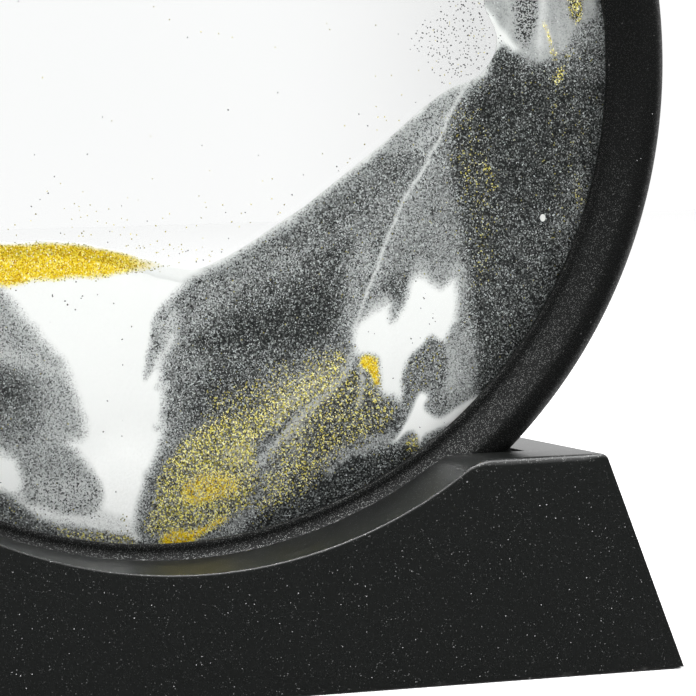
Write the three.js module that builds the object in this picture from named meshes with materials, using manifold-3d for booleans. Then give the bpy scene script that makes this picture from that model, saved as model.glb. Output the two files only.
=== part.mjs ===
// Round sand picture on a stand. Two panes of glass hold liquid and coloured sand
// between them; a two-part moulded ring grips the panes, and the ring turns in, and
// lifts out of, the groove of a hollow moulded stand.
// Millimetres, +Z up, the picture faces -Y, the origin is on the table under its middle.
import * as THREE from 'three';
import { mergeVertices } from 'three/addons/utils/BufferGeometryUtils.js';
import Module from 'manifold-3d';

// Gap kept between neighbouring pieces
const FIT = 0.3;

// Ring: two half mouldings that meet on the middle plane
const RING_RADIUS = 90;
const RING_WIDTH = 11;
const RING_DEPTH = 17.6;
const LIP_WIDTH = 1.6;
const LIP_THICKNESS = 1;
const BEAD_FULLNESS = 2.4;
const PEG_COUNT = 8;
const PEG_RADIUS = 1.2;
const PEG_LENGTH = 3;

// Cell: panes, the seal between them and its filling hole
const PANE_THICKNESS = 2;
const PANE_LAP = 4;
const CELL_GAP = 5;
const SEAL_WIDTH = 2.5;
const FILL_HOLE_RADIUS = 1.4;
const PLUG_TAPER = 0.2;
const AIR_HEIGHT = 6;

// Stand: outside, cradle and groove
const STAND_HEIGHT = 36.7;
const STAND_TOP_WIDTH = 142.6;
const STAND_BOTTOM_WIDTH = 168;
const STAND_TOP_DEPTH = 41.6;
const STAND_BOTTOM_DEPTH = 45.2;
const GROOVE_FLOOR_HEIGHT = 12.8;
const LEDGE_DEPTH = 8.7;
const LEDGE_FALL = 1;
const SHOULDER_ROUNDING = 9;
const CORNER_ROUNDING = 1.4;
const EDGE_ROUNDING = 1.1;
const INNER_ROUNDING = 0.5;
const WALL = 2.2;
const RIB_THICKNESS = 1.6;
const RIB_SPACING = 44;

// Underside: plate, screws and feet
const RIM_HEIGHT = 0.3;
const RIM_WIDTH = 2.4;
const PLATE_RECESS = 0.4;
const PLATE_THICKNESS = 2.4;
const PLATE_CORNER = 2;
const BOSS_RADIUS = 3.2;
const SCREW_INSET_X = 25.3;
const SCREW_INSET_Y = 7.9;
const SCREW_HEAD_RADIUS = 2.6;
const SCREW_HEAD_HEIGHT = 1.2;
const SCREW_SHANK_RADIUS = 1.3;
const SCREW_LENGTH = 10;
const FOOT_INSET_X = 8.8;
const FOOT_INSET_Y = 6.4;
const FOOT_RADIUS = 4.5;
const FOOT_HEIGHT = 2;
const FOOT_CHAMFER = 0.4;

// Facets of round forms
const ROUND_STEPS = 64;
const SMALL_STEPS = 16;
const BEAD_STEPS = 5;
const EDGE_STEPS = 2;
const CORNER_STEPS = 3;
const SHOULDER_STEPS = 5;
const CRADLE_STEPS = 10;
const TOP_STEPS = 48;
const LINE_STEPS = 18;

// Places worked out from the sizes above
const discHeight = GROOVE_FLOOR_HEIGHT + FIT + RING_RADIUS;
const viewRadius = RING_RADIUS - RING_WIDTH;
const paneRadius = viewRadius + PANE_LAP;
const paneMiddle = (CELL_GAP + PANE_THICKNESS) / 2;
const lipBack = CELL_GAP / 2 + PANE_THICKNESS + FIT;
const lipFront = lipBack + LIP_THICKNESS;
const rebateRadius = paneRadius + FIT;
const pegCircle = (rebateRadius + RING_RADIUS) / 2;
const sealRadius = paneRadius - SEAL_WIDTH;
const fillRadius = sealRadius - FIT;
const fillHalfDepth = CELL_GAP / 2 - FIT;
const grooveRadius = RING_RADIUS + FIT;
const grooveHalfWidth = RING_DEPTH / 2 + FIT;
const ledgeRadius = RING_RADIUS - LEDGE_DEPTH;
const plateBottom = RIM_HEIGHT + PLATE_RECESS;
const plateTop = plateBottom + PLATE_THICKNESS;
const pocketTop = plateTop + FIT;
const pocketHalfLength = STAND_BOTTOM_WIDTH / 2 - RIM_WIDTH;
const pocketHalfDepth = STAND_BOTTOM_DEPTH / 2 - RIM_WIDTH;
const plateHalfLength = pocketHalfLength - FIT;
const plateHalfDepth = pocketHalfDepth - FIT;

const wasm = await Module();
wasm.setup();

// A closed geometry as a solid that can be joined and cut
function solid(geometry) {
  const bare = geometry.index ? geometry.toNonIndexed() : geometry.clone();
  bare.deleteAttribute('normal');
  bare.deleteAttribute('uv');
  const merged = mergeVertices(bare);
  const vertProperties = new Float32Array(merged.attributes.position.array);
  const triVerts = new Uint32Array(merged.index.array);
  const mesh = new wasm.Mesh({ numProp: 3, vertProperties, triVerts });
  mesh.merge();
  return new wasm.Manifold(mesh);
}

function geometryOf(body) {
  const mesh = body.getMesh();
  const geometry = new THREE.BufferGeometry();
  geometry.setAttribute('position', new THREE.BufferAttribute(mesh.vertProperties, 3));
  geometry.setIndex(new THREE.BufferAttribute(mesh.triVerts, 1));
  geometry.computeVertexNormals();
  return geometry;
}

function box(lowX, highX, lowY, highY, lowZ, highZ) {
  const geometry = new THREE.BoxGeometry(highX - lowX, highY - lowY, highZ - lowZ);
  geometry.translate((lowX + highX) / 2, (lowY + highY) / 2, (lowZ + highZ) / 2);
  return solid(geometry);
}

// Upright round bar between two heights
function post(x, y, low, high, radius, topRadius = radius) {
  const geometry = new THREE.CylinderGeometry(topRadius, radius, high - low, SMALL_STEPS);
  geometry.rotateX(Math.PI / 2);
  geometry.translate(x, y, (low + high) / 2);
  return solid(geometry);
}

// Round bar along Y about the middle of the disc
function drum(radius, halfLength, height) {
  const geometry = new THREE.CylinderGeometry(radius, radius, 2 * halfLength, ROUND_STEPS);
  geometry.translate(0, 0, height);
  return solid(geometry);
}

// Front-view outline drawn on X and Z, given a thickness along Y
function slab(points, halfDepth) {
  const shape = new THREE.Shape(points);
  const geometry = new THREE.ExtrudeGeometry(shape, { depth: 2 * halfDepth, bevelEnabled: false });
  geometry.translate(0, 0, -halfDepth);
  geometry.rotateX(Math.PI / 2);
  return solid(geometry);
}

// Four places, each drawn in from a corner of the plate
function plateCorners(insetX, insetY) {
  const x = plateHalfLength - insetX;
  const y = plateHalfDepth - insetY;
  return [[-x, -y], [x, -y], [x, y], [-x, y]];
}

// Finish of a piece; one that light passes through has an opacity below 1
function finish(color, roughness, metalness, opacity = 1) {
  return new THREE.MeshStandardMaterial({ color, roughness, metalness, opacity, transparent: opacity < 1 });
}

const materials = {
  moulding: finish(0x232524, 0.5, 0),
  glass: finish(0xeef4f2, 0.03, 0, 0.2),
  seal: finish(0x1a1a1a, 0.7, 0),
  liquid: finish(0xf6faf9, 0.05, 0, 0.3),
  blackSand: finish(0x55575b, 0.8, 0),
  whiteSand: finish(0xf0f0ee, 0.9, 0),
  goldSand: finish(0xc9a227, 0.4, 0.6),
  rubber: finish(0x161616, 0.9, 0),
  steel: finish(0xb4b6b8, 0.35, 1),
};

const group = new THREE.Group();

function place(name, body, material) {
  const mesh = new THREE.Mesh(geometryOf(body), material);
  mesh.name = name;
  group.add(mesh);
}

// Half ring section, from the lip over the bead to the parting plane, side -1 in front
function ringProfile(side) {
  const beadInner = viewRadius + LIP_WIDTH;
  const crestRadius = (beadInner + RING_RADIUS) / 2;
  const beadHalfWidth = (RING_RADIUS - beadInner) / 2;
  const crest = RING_DEPTH / 2;
  const parting = FIT / 2;
  const bend = (value) => Math.abs(value) ** (2 / BEAD_FULLNESS);
  const points = [[viewRadius, lipBack], [viewRadius, lipFront]];
  for (let step = 0; step <= BEAD_STEPS; step += 1) {
    const angle = (step / BEAD_STEPS) * (Math.PI / 2);
    const rise = (crest - lipFront) * bend(Math.sin(angle));
    points.push([crestRadius - beadHalfWidth * bend(Math.cos(angle)), lipFront + rise]);
  }
  for (let step = 1; step <= BEAD_STEPS; step += 1) {
    const angle = (step / BEAD_STEPS) * (Math.PI / 2);
    const fall = parting + (crest - parting) * bend(Math.cos(angle));
    points.push([crestRadius + beadHalfWidth * bend(Math.sin(angle)), fall]);
  }
  points.push([rebateRadius, parting], [rebateRadius, lipBack], [viewRadius, lipBack]);
  const profile = points.map(([radius, depth]) => new THREE.Vector2(radius, side * depth));
  return side > 0 ? profile.reverse() : profile;
}

function halfRing(side) {
  const geometry = new THREE.LatheGeometry(ringProfile(side), ROUND_STEPS);
  geometry.translate(0, 0, discHeight);
  return solid(geometry);
}

// Locating pegs of the front half, or the sockets that take them in the rear half
function pegs(radius, length) {
  const start = -lipBack / 2;
  const bars = [];
  for (let index = 0; index < PEG_COUNT; index += 1) {
    const angle = ((index + 0.5) / PEG_COUNT) * 2 * Math.PI;
    const geometry = new THREE.CylinderGeometry(radius, radius, length - start, SMALL_STEPS / 2);
    geometry.translate(
      pegCircle * Math.cos(angle),
      (start + length) / 2,
      discHeight + pegCircle * Math.sin(angle),
    );
    bars.push(solid(geometry));
  }
  return bars;
}

const frontRing = pegs(PEG_RADIUS, PEG_LENGTH).reduce((ring, peg) => ring.add(peg), halfRing(-1));
const sockets = pegs(PEG_RADIUS + FIT, PEG_LENGTH + FIT);
const rearRing = sockets.reduce((ring, socket) => ring.subtract(socket), halfRing(1));
place('front_ring', frontRing, materials.moulding);
place('rear_ring', rearRing, materials.moulding);

// Panes of float glass, one on each side of the seal
const pane = drum(paneRadius, PANE_THICKNESS / 2, discHeight);
place('front_glass', pane.translate([0, -paneMiddle, 0]), materials.glass);
place('rear_glass', pane.translate([0, paneMiddle, 0]), materials.glass);

// Seal ring between the panes, with the filling hole at its top and the plug in it
const sealRing = drum(paneRadius, fillHalfDepth, discHeight)
  .subtract(drum(sealRadius, CELL_GAP, discHeight))
  .subtract(post(0, 0, discHeight, discHeight + RING_RADIUS, FILL_HOLE_RADIUS));
const plugRadius = FILL_HOLE_RADIUS - FIT;
const plugBottom = discHeight + sealRadius;
const plugTop = discHeight + paneRadius - FIT;
const fillPlug = post(0, 0, plugBottom, plugTop, plugRadius - PLUG_TAPER, plugRadius);
place('spacer_ring', sealRing, materials.seal);
place('fill_plug', fillPlug, materials.seal);

// Sand lines, drawn in shares of the view radius about the middle of the disc so that
// the picture keeps its look on a disc of another size
const beyond = 1.3;
const sandLine = (shares) =>
  new THREE.SplineCurve(shares.map(([x, z]) => new THREE.Vector2(x * viewRadius, z * viewRadius)));

const sandTop = sandLine([
  [-beyond, 0.19], [-0.975, 0.033], [-0.78, -0.165], [-0.557, -0.304], [-0.34, -0.352], [-0.13, -0.37],
  [0.025, -0.413], [0.09, -0.42], [0.152, -0.4], [0.228, -0.356], [0.33, -0.296], [0.43, -0.227],
  [0.532, -0.144], [0.608, -0.085], [0.677, -0.049], [0.722, -0.028], [0.742, 0.008], [0.75, 0.076],
  [0.76, 0.152], [0.797, 0.253], [0.86, 0.342], [0.962, 0.418], [beyond, 0.506],
]);
const goldBottom = sandLine([
  [-0.9, -0.06], [-0.7, -0.29], [-0.52, -0.425], [-0.34, -0.456], [-0.2, -0.449], [-0.09, -0.438],
  [-0.03, -0.427], [0.03, -0.39],
]);
const leftDune = sandLine([
  [-0.42, -0.39], [-0.34, -0.462], [-0.247, -0.58], [-0.205, -0.67], [-0.184, -0.72], [-0.173, -0.76],
  [-0.15, -0.89], [-0.12, -0.97], [-0.04, -beyond],
]);
const rightDune = sandLine([
  [-0.03, -beyond], [-0.033, -0.911], [-0.009, -0.786], [0, -0.704], [-0.026, -0.639], [-0.02, -0.557],
  [0.01, -0.485], [0.055, -0.444], [0.1, -0.37],
]);
const pocketLine = sandLine([
  [0.45, -0.563], [0.518, -0.523], [0.576, -0.472], [0.655, -0.485], [0.654, -0.549], [0.62, -0.6],
  [0.562, -0.621], [0.54, -0.71], [0.492, -0.692], [0.46, -0.606], [0.45, -0.563],
]);

// Line moved sideways, to the left of its run; a line that ends where it starts stays closed
function moved(points, distance) {
  const last = points.length - 1;
  const closed = points[0].distanceTo(points[last]) < FIT / 2;
  const beforeFirst = closed ? last - 1 : 0;
  const afterLast = closed ? 1 : last;
  return points.map((point, index) => {
    const before = index > 0 ? index - 1 : beforeFirst;
    const after = index < last ? index + 1 : afterLast;
    const run = points[after].clone().sub(points[before]).normalize();
    return new THREE.Vector2(point.x - run.y * distance, point.y + run.x * distance);
  });
}

// Thin wall along a sand line, cut out so that neighbouring layers stay apart
const seam = (points) =>
  slab([...moved(points, FIT / 2), ...moved(points, -FIT / 2).reverse()], CELL_GAP);

const topPoints = sandTop.getPoints(TOP_STEPS);
const goldPoints = goldBottom.getPoints(LINE_STEPS);
const leftPoints = leftDune.getPoints(LINE_STEPS);
const rightPoints = rightDune.getPoints(LINE_STEPS);
const pocketPoints = pocketLine.getPoints(LINE_STEPS);
const far = (x, z) => new THREE.Vector2(x * beyond * viewRadius, z * beyond * viewRadius);

const fill = drum(fillRadius, fillHalfDepth, 0);
const bed = fill.intersect(slab([...topPoints, far(1, -1), far(-1, -1)], CELL_GAP));
const aboveGold = slab([...goldPoints, far(0.05, 1), far(-0.7, 1)], CELL_GAP);
const leftSide = slab([...leftPoints, far(-1, -1), far(-1, 1), far(-0.35, 1)], CELL_GAP);
const rightSide = slab([...rightPoints, far(0.1, 1), far(1, 1), far(1, -1)], CELL_GAP);
const topSeam = seam(topPoints);
const goldSeam = seam(goldPoints);
const leftSeam = seam(leftPoints);
const rightSeam = seam(rightPoints);

const settled = bed.subtract(topSeam);
const goldSand = settled.intersect(aboveGold).subtract(goldSeam);
const ground = settled.subtract(aboveGold).subtract(goldSeam);
const blackLeft = ground.intersect(leftSide).subtract(leftSeam);
const whiteSand = ground.subtract(leftSide).subtract(leftSeam).subtract(rightSide).subtract(rightSeam);
const rightBed = settled.intersect(rightSide).subtract(rightSeam);
const blackRight = rightBed.subtract(slab(moved(pocketPoints, FIT / 2), CELL_GAP));
const whitePocket = rightBed.intersect(slab(moved(pocketPoints, -FIT / 2), CELL_GAP));

const raise = [0, 0, discHeight];
place('gold_sand', goldSand.translate(raise), materials.goldSand);
place('black_sand_left', blackLeft.translate(raise), materials.blackSand);
place('white_sand', whiteSand.translate(raise), materials.whiteSand);
place('black_sand_right', blackRight.translate(raise), materials.blackSand);
place('white_sand_pocket', whitePocket.translate(raise), materials.whiteSand);

// Clear liquid over the sand, with a little air above its level surface
const liquidTop = fillRadius - AIR_HEIGHT;
const air = box(-RING_RADIUS, RING_RADIUS, -CELL_GAP, CELL_GAP, liquidTop, RING_RADIUS);
const liquid = fill.subtract(bed).subtract(topSeam).subtract(air);
place('liquid_fill', liquid.translate(raise), materials.liquid);

// Points of an arc on X and Z
function arc(x, z, radius, from, to, steps) {
  const points = [];
  for (let step = 0; step <= steps; step += 1) {
    const angle = from + ((to - from) * step) / steps;
    points.push([x + radius * Math.cos(angle), z + radius * Math.sin(angle)]);
  }
  return points;
}

// Front-view outline of the stand, drawn in by an inset all round except at the rim.
// The shoulders run into the cradle over a convex rounding that touches both.
function standOutline(inset, cradleRadius) {
  const up = Math.PI / 2;
  const slope = (STAND_BOTTOM_WIDTH - STAND_TOP_WIDTH) / 2 / (STAND_HEIGHT - RIM_HEIGHT);
  const sideX = (z, away) => STAND_TOP_WIDTH / 2 + slope * (STAND_HEIGHT - z) - away * Math.hypot(1, slope);
  const cornerRadius = Math.max(CORNER_ROUNDING - inset, INNER_ROUNDING);
  const cornerZ = STAND_HEIGHT - inset - cornerRadius;
  const cornerX = sideX(cornerZ, inset + cornerRadius);
  const roundingRadius = SHOULDER_ROUNDING - inset;
  const roundingZ = STAND_HEIGHT - SHOULDER_ROUNDING;
  const drop = discHeight - roundingZ;
  const roundingX = Math.sqrt((cradleRadius + SHOULDER_ROUNDING) ** 2 - drop ** 2);
  const lean = Math.atan2(drop, roundingX);
  const rightHalf = [
    [sideX(RIM_HEIGHT, inset), RIM_HEIGHT],
    ...arc(cornerX, cornerZ, cornerRadius, Math.atan(slope), up, CORNER_STEPS),
    ...arc(roundingX, roundingZ, roundingRadius, up, Math.PI - lean, SHOULDER_STEPS),
    ...arc(0, discHeight, cradleRadius + inset, -lean, -up, CRADLE_STEPS).slice(1),
  ];
  const leftHalf = rightHalf.slice(0, -1).reverse().map(([x, z]) => [-x, z]);
  return [...rightHalf, ...leftHalf];
}

// Half depth of the stand at a height: the front and back lean out towards the table
function standHalfDepth(z) {
  const spread = (STAND_BOTTOM_DEPTH - STAND_TOP_DEPTH) / 2;
  return STAND_TOP_DEPTH / 2 + (spread * (STAND_HEIGHT - z)) / (STAND_HEIGHT - RIM_HEIGHT);
}

// Solid through a row of outlines with like points, closed by a face at each end
function loft(sections) {
  const count = sections[0].length;
  const positions = sections.flat();
  const faces = [];
  for (let row = 0; row + 1 < sections.length; row += 1) {
    for (let column = 0; column < count; column += 1) {
      const a = row * count + column;
      const b = row * count + ((column + 1) % count);
      faces.push([a, b + count, b], [a, a + count, b + count]);
    }
  }
  const flat = sections[0].map(([x, , z]) => new THREE.Vector2(x, z));
  const last = (sections.length - 1) * count;
  for (const [a, b, c] of THREE.ShapeUtils.triangulateShape(flat, [])) {
    faces.push([a, b, c], [last + a, last + c, last + b]);
  }
  const geometry = new THREE.BufferGeometry();
  geometry.setAttribute('position', new THREE.Float32BufferAttribute(positions.flat(), 3));
  geometry.setIndex(faces.flat());
  return solid(geometry);
}

// Outside of the stand from front to back: rounded edges, then the ledge rising to the groove
function standOutside() {
  const half = [];
  for (let step = 0; step <= EDGE_STEPS; step += 1) {
    const angle = (step / EDGE_STEPS) * (Math.PI / 2);
    half.push({
      inset: EDGE_ROUNDING * (1 - Math.sin(angle)),
      back: EDGE_ROUNDING * (1 - Math.cos(angle)),
      radius: ledgeRadius + LEDGE_FALL,
    });
  }
  const section = (side) => ({ inset, back, radius }) =>
    standOutline(inset, radius).map(([x, z]) => [x, side * (standHalfDepth(z) - back), z]);
  const innerLedge = (side) =>
    standOutline(0, ledgeRadius).map(([x, z]) => [x, side * grooveHalfWidth, z]);
  return loft([
    ...half.map(section(-1)),
    innerLedge(-1),
    innerLedge(1),
    ...half.reverse().map(section(1)),
  ]);
}

// Room inside the stand, left open to the plate, with the screw bosses and ribs standing in it
function standInside() {
  const section = (side) =>
    standOutline(WALL, ledgeRadius + LEDGE_FALL)
      .map(([x, z]) => [x, side * (standHalfDepth(z) - WALL), z]);
  const grooveWall = drum(grooveRadius + WALL, grooveHalfWidth + WALL, discHeight);
  let room = loft([section(-1), section(1)]).subtract(grooveWall);
  for (const [x, y] of plateCorners(SCREW_INSET_X, SCREW_INSET_Y)) {
    room = room.subtract(post(x, y, pocketTop, STAND_HEIGHT, BOSS_RADIUS));
  }
  const low = -RIB_THICKNESS / 2;
  const high = RIB_THICKNESS / 2;
  const deep = STAND_BOTTOM_DEPTH;
  for (const x of [-RIB_SPACING / 2, RIB_SPACING / 2]) {
    room = room.subtract(box(x + low, x + high, -deep, deep, pocketTop, STAND_HEIGHT));
  }
  return room;
}

const platePocket = box(
  -pocketHalfLength, pocketHalfLength, -pocketHalfDepth, pocketHalfDepth, 0, pocketTop,
);
let standShell = standOutside()
  .subtract(drum(grooveRadius, grooveHalfWidth, discHeight))
  .subtract(standInside())
  .subtract(platePocket);

// Plate that closes the underside, with recesses for the feet and the screw heads
function roundedRectangle(halfX, halfY, corner) {
  const shape = new THREE.Shape();
  shape.moveTo(halfX, corner - halfY);
  shape.lineTo(halfX, halfY - corner);
  shape.absarc(halfX - corner, halfY - corner, corner, 0, Math.PI / 2, false);
  shape.absarc(corner - halfX, halfY - corner, corner, Math.PI / 2, Math.PI, false);
  shape.absarc(corner - halfX, corner - halfY, corner, Math.PI, 1.5 * Math.PI, false);
  shape.absarc(halfX - corner, corner - halfY, corner, 1.5 * Math.PI, 2 * Math.PI, false);
  return shape;
}

const plateShape = roundedRectangle(plateHalfLength, plateHalfDepth, PLATE_CORNER);
const plateGeometry = new THREE.ExtrudeGeometry(plateShape, {
  depth: PLATE_THICKNESS,
  bevelEnabled: false,
  curveSegments: SMALL_STEPS / 4,
});
plateGeometry.translate(0, 0, plateBottom);
let basePlate = solid(plateGeometry);

const screwTop = plateBottom + SCREW_HEAD_HEIGHT + SCREW_LENGTH;
plateCorners(SCREW_INSET_X, SCREW_INSET_Y).forEach(([x, y], index) => {
  const headTop = plateBottom + SCREW_HEAD_HEIGHT;
  const hole = post(x, y, 0, screwTop + FIT, SCREW_SHANK_RADIUS + FIT);
  basePlate = basePlate
    .subtract(hole)
    .subtract(post(x, y, 0, headTop + FIT, SCREW_HEAD_RADIUS + FIT));
  standShell = standShell.subtract(hole);
  const screw = post(x, y, plateBottom, headTop, SCREW_HEAD_RADIUS)
    .add(post(x, y, plateBottom, screwTop, SCREW_SHANK_RADIUS));
  place(`base_screw_${index + 1}`, screw, materials.steel);
});

plateCorners(FOOT_INSET_X, FOOT_INSET_Y).forEach(([x, y], index) => {
  basePlate = basePlate.subtract(post(x, y, 0, FOOT_HEIGHT + FIT, FOOT_RADIUS + FIT));
  const foot = post(x, y, 0, FOOT_CHAMFER, FOOT_RADIUS - FOOT_CHAMFER, FOOT_RADIUS)
    .add(post(x, y, FOOT_CHAMFER, FOOT_HEIGHT, FOOT_RADIUS));
  place(`foot_${index + 1}`, foot, materials.rubber);
});

place('stand_shell', standShell, materials.moulding);
place('base_plate', basePlate, materials.moulding);

export default group;
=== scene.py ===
import math

import bmesh
import bpy
import numpy as np
from mathutils import Matrix, Vector, noise


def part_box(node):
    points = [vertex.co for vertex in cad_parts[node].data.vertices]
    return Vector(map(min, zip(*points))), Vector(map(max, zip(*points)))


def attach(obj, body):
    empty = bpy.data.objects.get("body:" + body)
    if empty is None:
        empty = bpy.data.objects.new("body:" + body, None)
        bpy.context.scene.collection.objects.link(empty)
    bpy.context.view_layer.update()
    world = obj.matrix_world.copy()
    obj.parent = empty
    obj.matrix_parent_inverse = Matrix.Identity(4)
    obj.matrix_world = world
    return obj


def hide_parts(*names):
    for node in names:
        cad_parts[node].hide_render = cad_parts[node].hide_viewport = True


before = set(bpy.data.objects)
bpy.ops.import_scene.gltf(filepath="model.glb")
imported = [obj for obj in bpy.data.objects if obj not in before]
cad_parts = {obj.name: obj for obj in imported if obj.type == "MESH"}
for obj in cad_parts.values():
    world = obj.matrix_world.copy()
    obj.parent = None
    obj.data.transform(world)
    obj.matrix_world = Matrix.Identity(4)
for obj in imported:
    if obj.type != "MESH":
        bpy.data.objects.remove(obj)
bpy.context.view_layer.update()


# Seal ring and filling plug
# A ring of black rubber between the two panes keeps them apart and holds the liquid in.
# The hole that the cell was filled through is closed by a tapered plug of the same rubber.
MM = 0.001
SEAL_BLACK = (0.010, 0.010, 0.010, 1)
SEAL_BLOOM = (0.035, 0.034, 0.032, 1)
SEAL_BLOOM_SCALE = 260.0
BLOOM_DETAIL = 6.0
BLOOM_THINNING = 3.0
BLOOM_ROUGHNESS = (0.6, 0.85)
RUBBER_GRAIN_SCALE = 6000.0
RUBBER_GRAIN_STRENGTH = 0.4
RUBBER_GRAIN_HEIGHT = 0.05 * MM

# What an effect may put out: the kind of its socket, and the socket of the shader that takes it
LOOK_SOCKETS = {
    "Colour": ("NodeSocketColor", "Base Color"),
    "Metal": ("NodeSocketFloat", "Metallic"),
    "Roughness": ("NodeSocketFloat", "Roughness"),
    "Normal": ("NodeSocketVector", "Normal"),
}


def add_node(tree, kind, inputs=None, **settings):
    """Adds a node; inputs maps a socket's name or number to a value or to the socket that feeds it."""
    node = tree.nodes.new(kind)
    for name, value in settings.items():
        setattr(node, name, value)
    for name, value in (inputs or {}).items():
        if isinstance(value, bpy.types.NodeSocket):
            tree.links.new(value, node.inputs[name])
        else:
            node.inputs[name].default_value = value
    return node


def outlet(tree, kind, inputs=None, **settings):
    """Adds a node and gives what it puts out first."""
    return add_node(tree, kind, inputs, **settings).outputs[0]


def math_node(tree, operation, first, second=0.0):
    return outlet(tree, "ShaderNodeMath", {0: first, 1: second}, operation=operation)


def span(tree, value, low=0.0, high=1.0, to_low=0.0, to_high=1.0, **settings):
    """Carries a value from one range to another and holds it at the ends."""
    ends = {0: value, 1: low, 2: high, 3: to_low, 4: to_high}
    return outlet(tree, "ShaderNodeMapRange", ends, **settings)


def mix_colours(tree, share, first, second, **settings):
    colours = {0: share, 6: first, 7: second}
    return add_node(tree, "ShaderNodeMix", colours, data_type="RGBA", **settings).outputs[2]


def own_place(tree):
    """Place on the piece itself, so that a pattern moves with it."""
    return add_node(tree, "ShaderNodeTexCoord").outputs["Object"]


def cloud(tree, place, scale, detail=2.0):
    """Slow noise from 0 to 1."""
    return outlet(tree, "ShaderNodeTexNoise", {"Vector": place, "Scale": scale, "Detail": detail})


def bump(tree, height, strength, distance):
    relief = {"Height": height, "Strength": strength, "Distance": distance}
    return outlet(tree, "ShaderNodeBump", relief)


def new_effect(name, inputs, outputs):
    """Starts a shader group from named first values and the names of what it puts out."""
    effect = bpy.data.node_groups.new(name, "ShaderNodeTree")
    for title, value in inputs.items():
        kind = "NodeSocketFloat" if isinstance(value, float) else "NodeSocketColor"
        effect.interface.new_socket(name=title, in_out="INPUT", socket_type=kind).default_value = value
    for title in outputs:
        effect.interface.new_socket(name=title, in_out="OUTPUT", socket_type=LOOK_SOCKETS[title][0])
    return effect, effect.nodes.new("NodeGroupInput").outputs, effect.nodes.new("NodeGroupOutput").inputs


def end_effect(effect, effect_out, look):
    for title, value in look.items():
        effect.links.new(value, effect_out[title])


def new_finish(name):
    """Starts a material with one Principled shader."""
    finish = bpy.data.materials.new(name)
    finish.use_nodes = True
    return finish, finish.node_tree, finish.node_tree.nodes["Principled BSDF"]


def use_effect(tree, shader, effect, values):
    """Places a shader group in a material, with values of its own, and leads its outputs to the shader."""
    for look in add_node(tree, "ShaderNodeGroup", values, node_tree=effect).outputs:
        tree.links.new(look, shader.inputs[LOOK_SOCKETS[look.name][1]])


rubber_bloom, bloom_in, bloom_out = new_effect(
    "rubber_bloom",
    {"Rubber": SEAL_BLACK, "Bloom": SEAL_BLOOM, "Scale": SEAL_BLOOM_SCALE},
    ("Colour", "Roughness", "Normal"),
)
bloom_place = own_place(rubber_bloom)
bloom_cloud = cloud(rubber_bloom, bloom_place, bloom_in["Scale"], BLOOM_DETAIL)
bloom_share = math_node(rubber_bloom, "POWER", bloom_cloud, BLOOM_THINNING)
rubber_grain = cloud(rubber_bloom, bloom_place, RUBBER_GRAIN_SCALE)
end_effect(
    rubber_bloom,
    bloom_out,
    {
        "Colour": mix_colours(rubber_bloom, bloom_share, bloom_in["Rubber"], bloom_in["Bloom"]),
        "Roughness": span(rubber_bloom, bloom_cloud, 0.0, 1.0, *BLOOM_ROUGHNESS),
        "Normal": bump(rubber_bloom, rubber_grain, RUBBER_GRAIN_STRENGTH, RUBBER_GRAIN_HEIGHT),
    },
)


def dull_black(name, black, bloom, scale):
    """Black rubber or plain plastic with a paler bloom."""
    finish, tree, shader = new_finish(name)
    use_effect(tree, shader, rubber_bloom, {"Rubber": black, "Bloom": bloom, "Scale": scale})
    return finish


def dress(node_name, finish):
    """Gives a CAD node the finish of the real piece."""
    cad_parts[node_name].material_slots[0].material = finish


seal_rubber = dull_black("seal_rubber", SEAL_BLACK, SEAL_BLOOM, SEAL_BLOOM_SCALE)
dress("spacer_ring", seal_rubber)
dress("fill_plug", seal_rubber)


# Panes
# Two discs of clear float glass, cut and ground round, lie on both sides of the seal.
# The ring's lip laps over their edges, so only their wiped, faintly dusty faces show.
PANE_INDEX = 1.41
PANE_CLEAR = (1, 1, 1, 1)
PANE_LOSS = (0.783, 0.783, 0.783, 1)
PANE_GLOSS = 0.02
PANE_WIPE = 0.05
PANE_WIPE_SCALE = 22.0
PANE_WIPE_DETAIL = 5.0


def feed(tree, shader, sockets):
    for name, value in sockets.items():
        tree.links.new(value, shader.inputs[name])


def rest_of(tree, share):
    """What is left of 1."""
    return math_node(tree, "SUBTRACT", 1.0, share)


pane_glass, pane_tree, pane_shader = new_finish("pane_glass")
pane_shader.inputs["Base Color"].default_value = PANE_CLEAR
pane_shader.inputs["Metallic"].default_value = 1
wipe_marks = cloud(pane_tree, own_place(pane_tree), PANE_WIPE_SCALE, PANE_WIPE_DETAIL)
feed(pane_tree, pane_shader, {"Roughness": span(pane_tree, wipe_marks, 0.0, 1.0, PANE_GLOSS, PANE_WIPE)})

# Only the outer side of a face mirrors: from inside, the glass would turn into a full mirror
pane_inside = add_node(pane_tree, "ShaderNodeNewGeometry").outputs["Backfacing"]
pane_mirror = outlet(pane_tree, "ShaderNodeFresnel", {"IOR": PANE_INDEX})
pane_mirror = math_node(pane_tree, "MULTIPLY", pane_mirror, rest_of(pane_tree, pane_inside))

# The glass looks clear, but takes part of the light that falls through it on the sand
pane_path = add_node(pane_tree, "ShaderNodeLightPath").outputs
falls_in = math_node(pane_tree, "MAXIMUM", pane_path["Is Shadow Ray"], pane_path["Is Diffuse Ray"])
pane_tint = mix_colours(pane_tree, falls_in, PANE_CLEAR, PANE_LOSS)
pane_clear = outlet(pane_tree, "ShaderNodeBsdfTransparent", {"Color": pane_tint})
pane_mix = outlet(
    pane_tree, "ShaderNodeMixShader", {0: pane_mirror, 1: pane_clear, 2: pane_shader.outputs[0]}
)
pane_tree.links.new(pane_mix, pane_tree.nodes["Material Output"].inputs["Surface"])
dress("front_glass", pane_glass)
dress("rear_glass", pane_glass)


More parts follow.
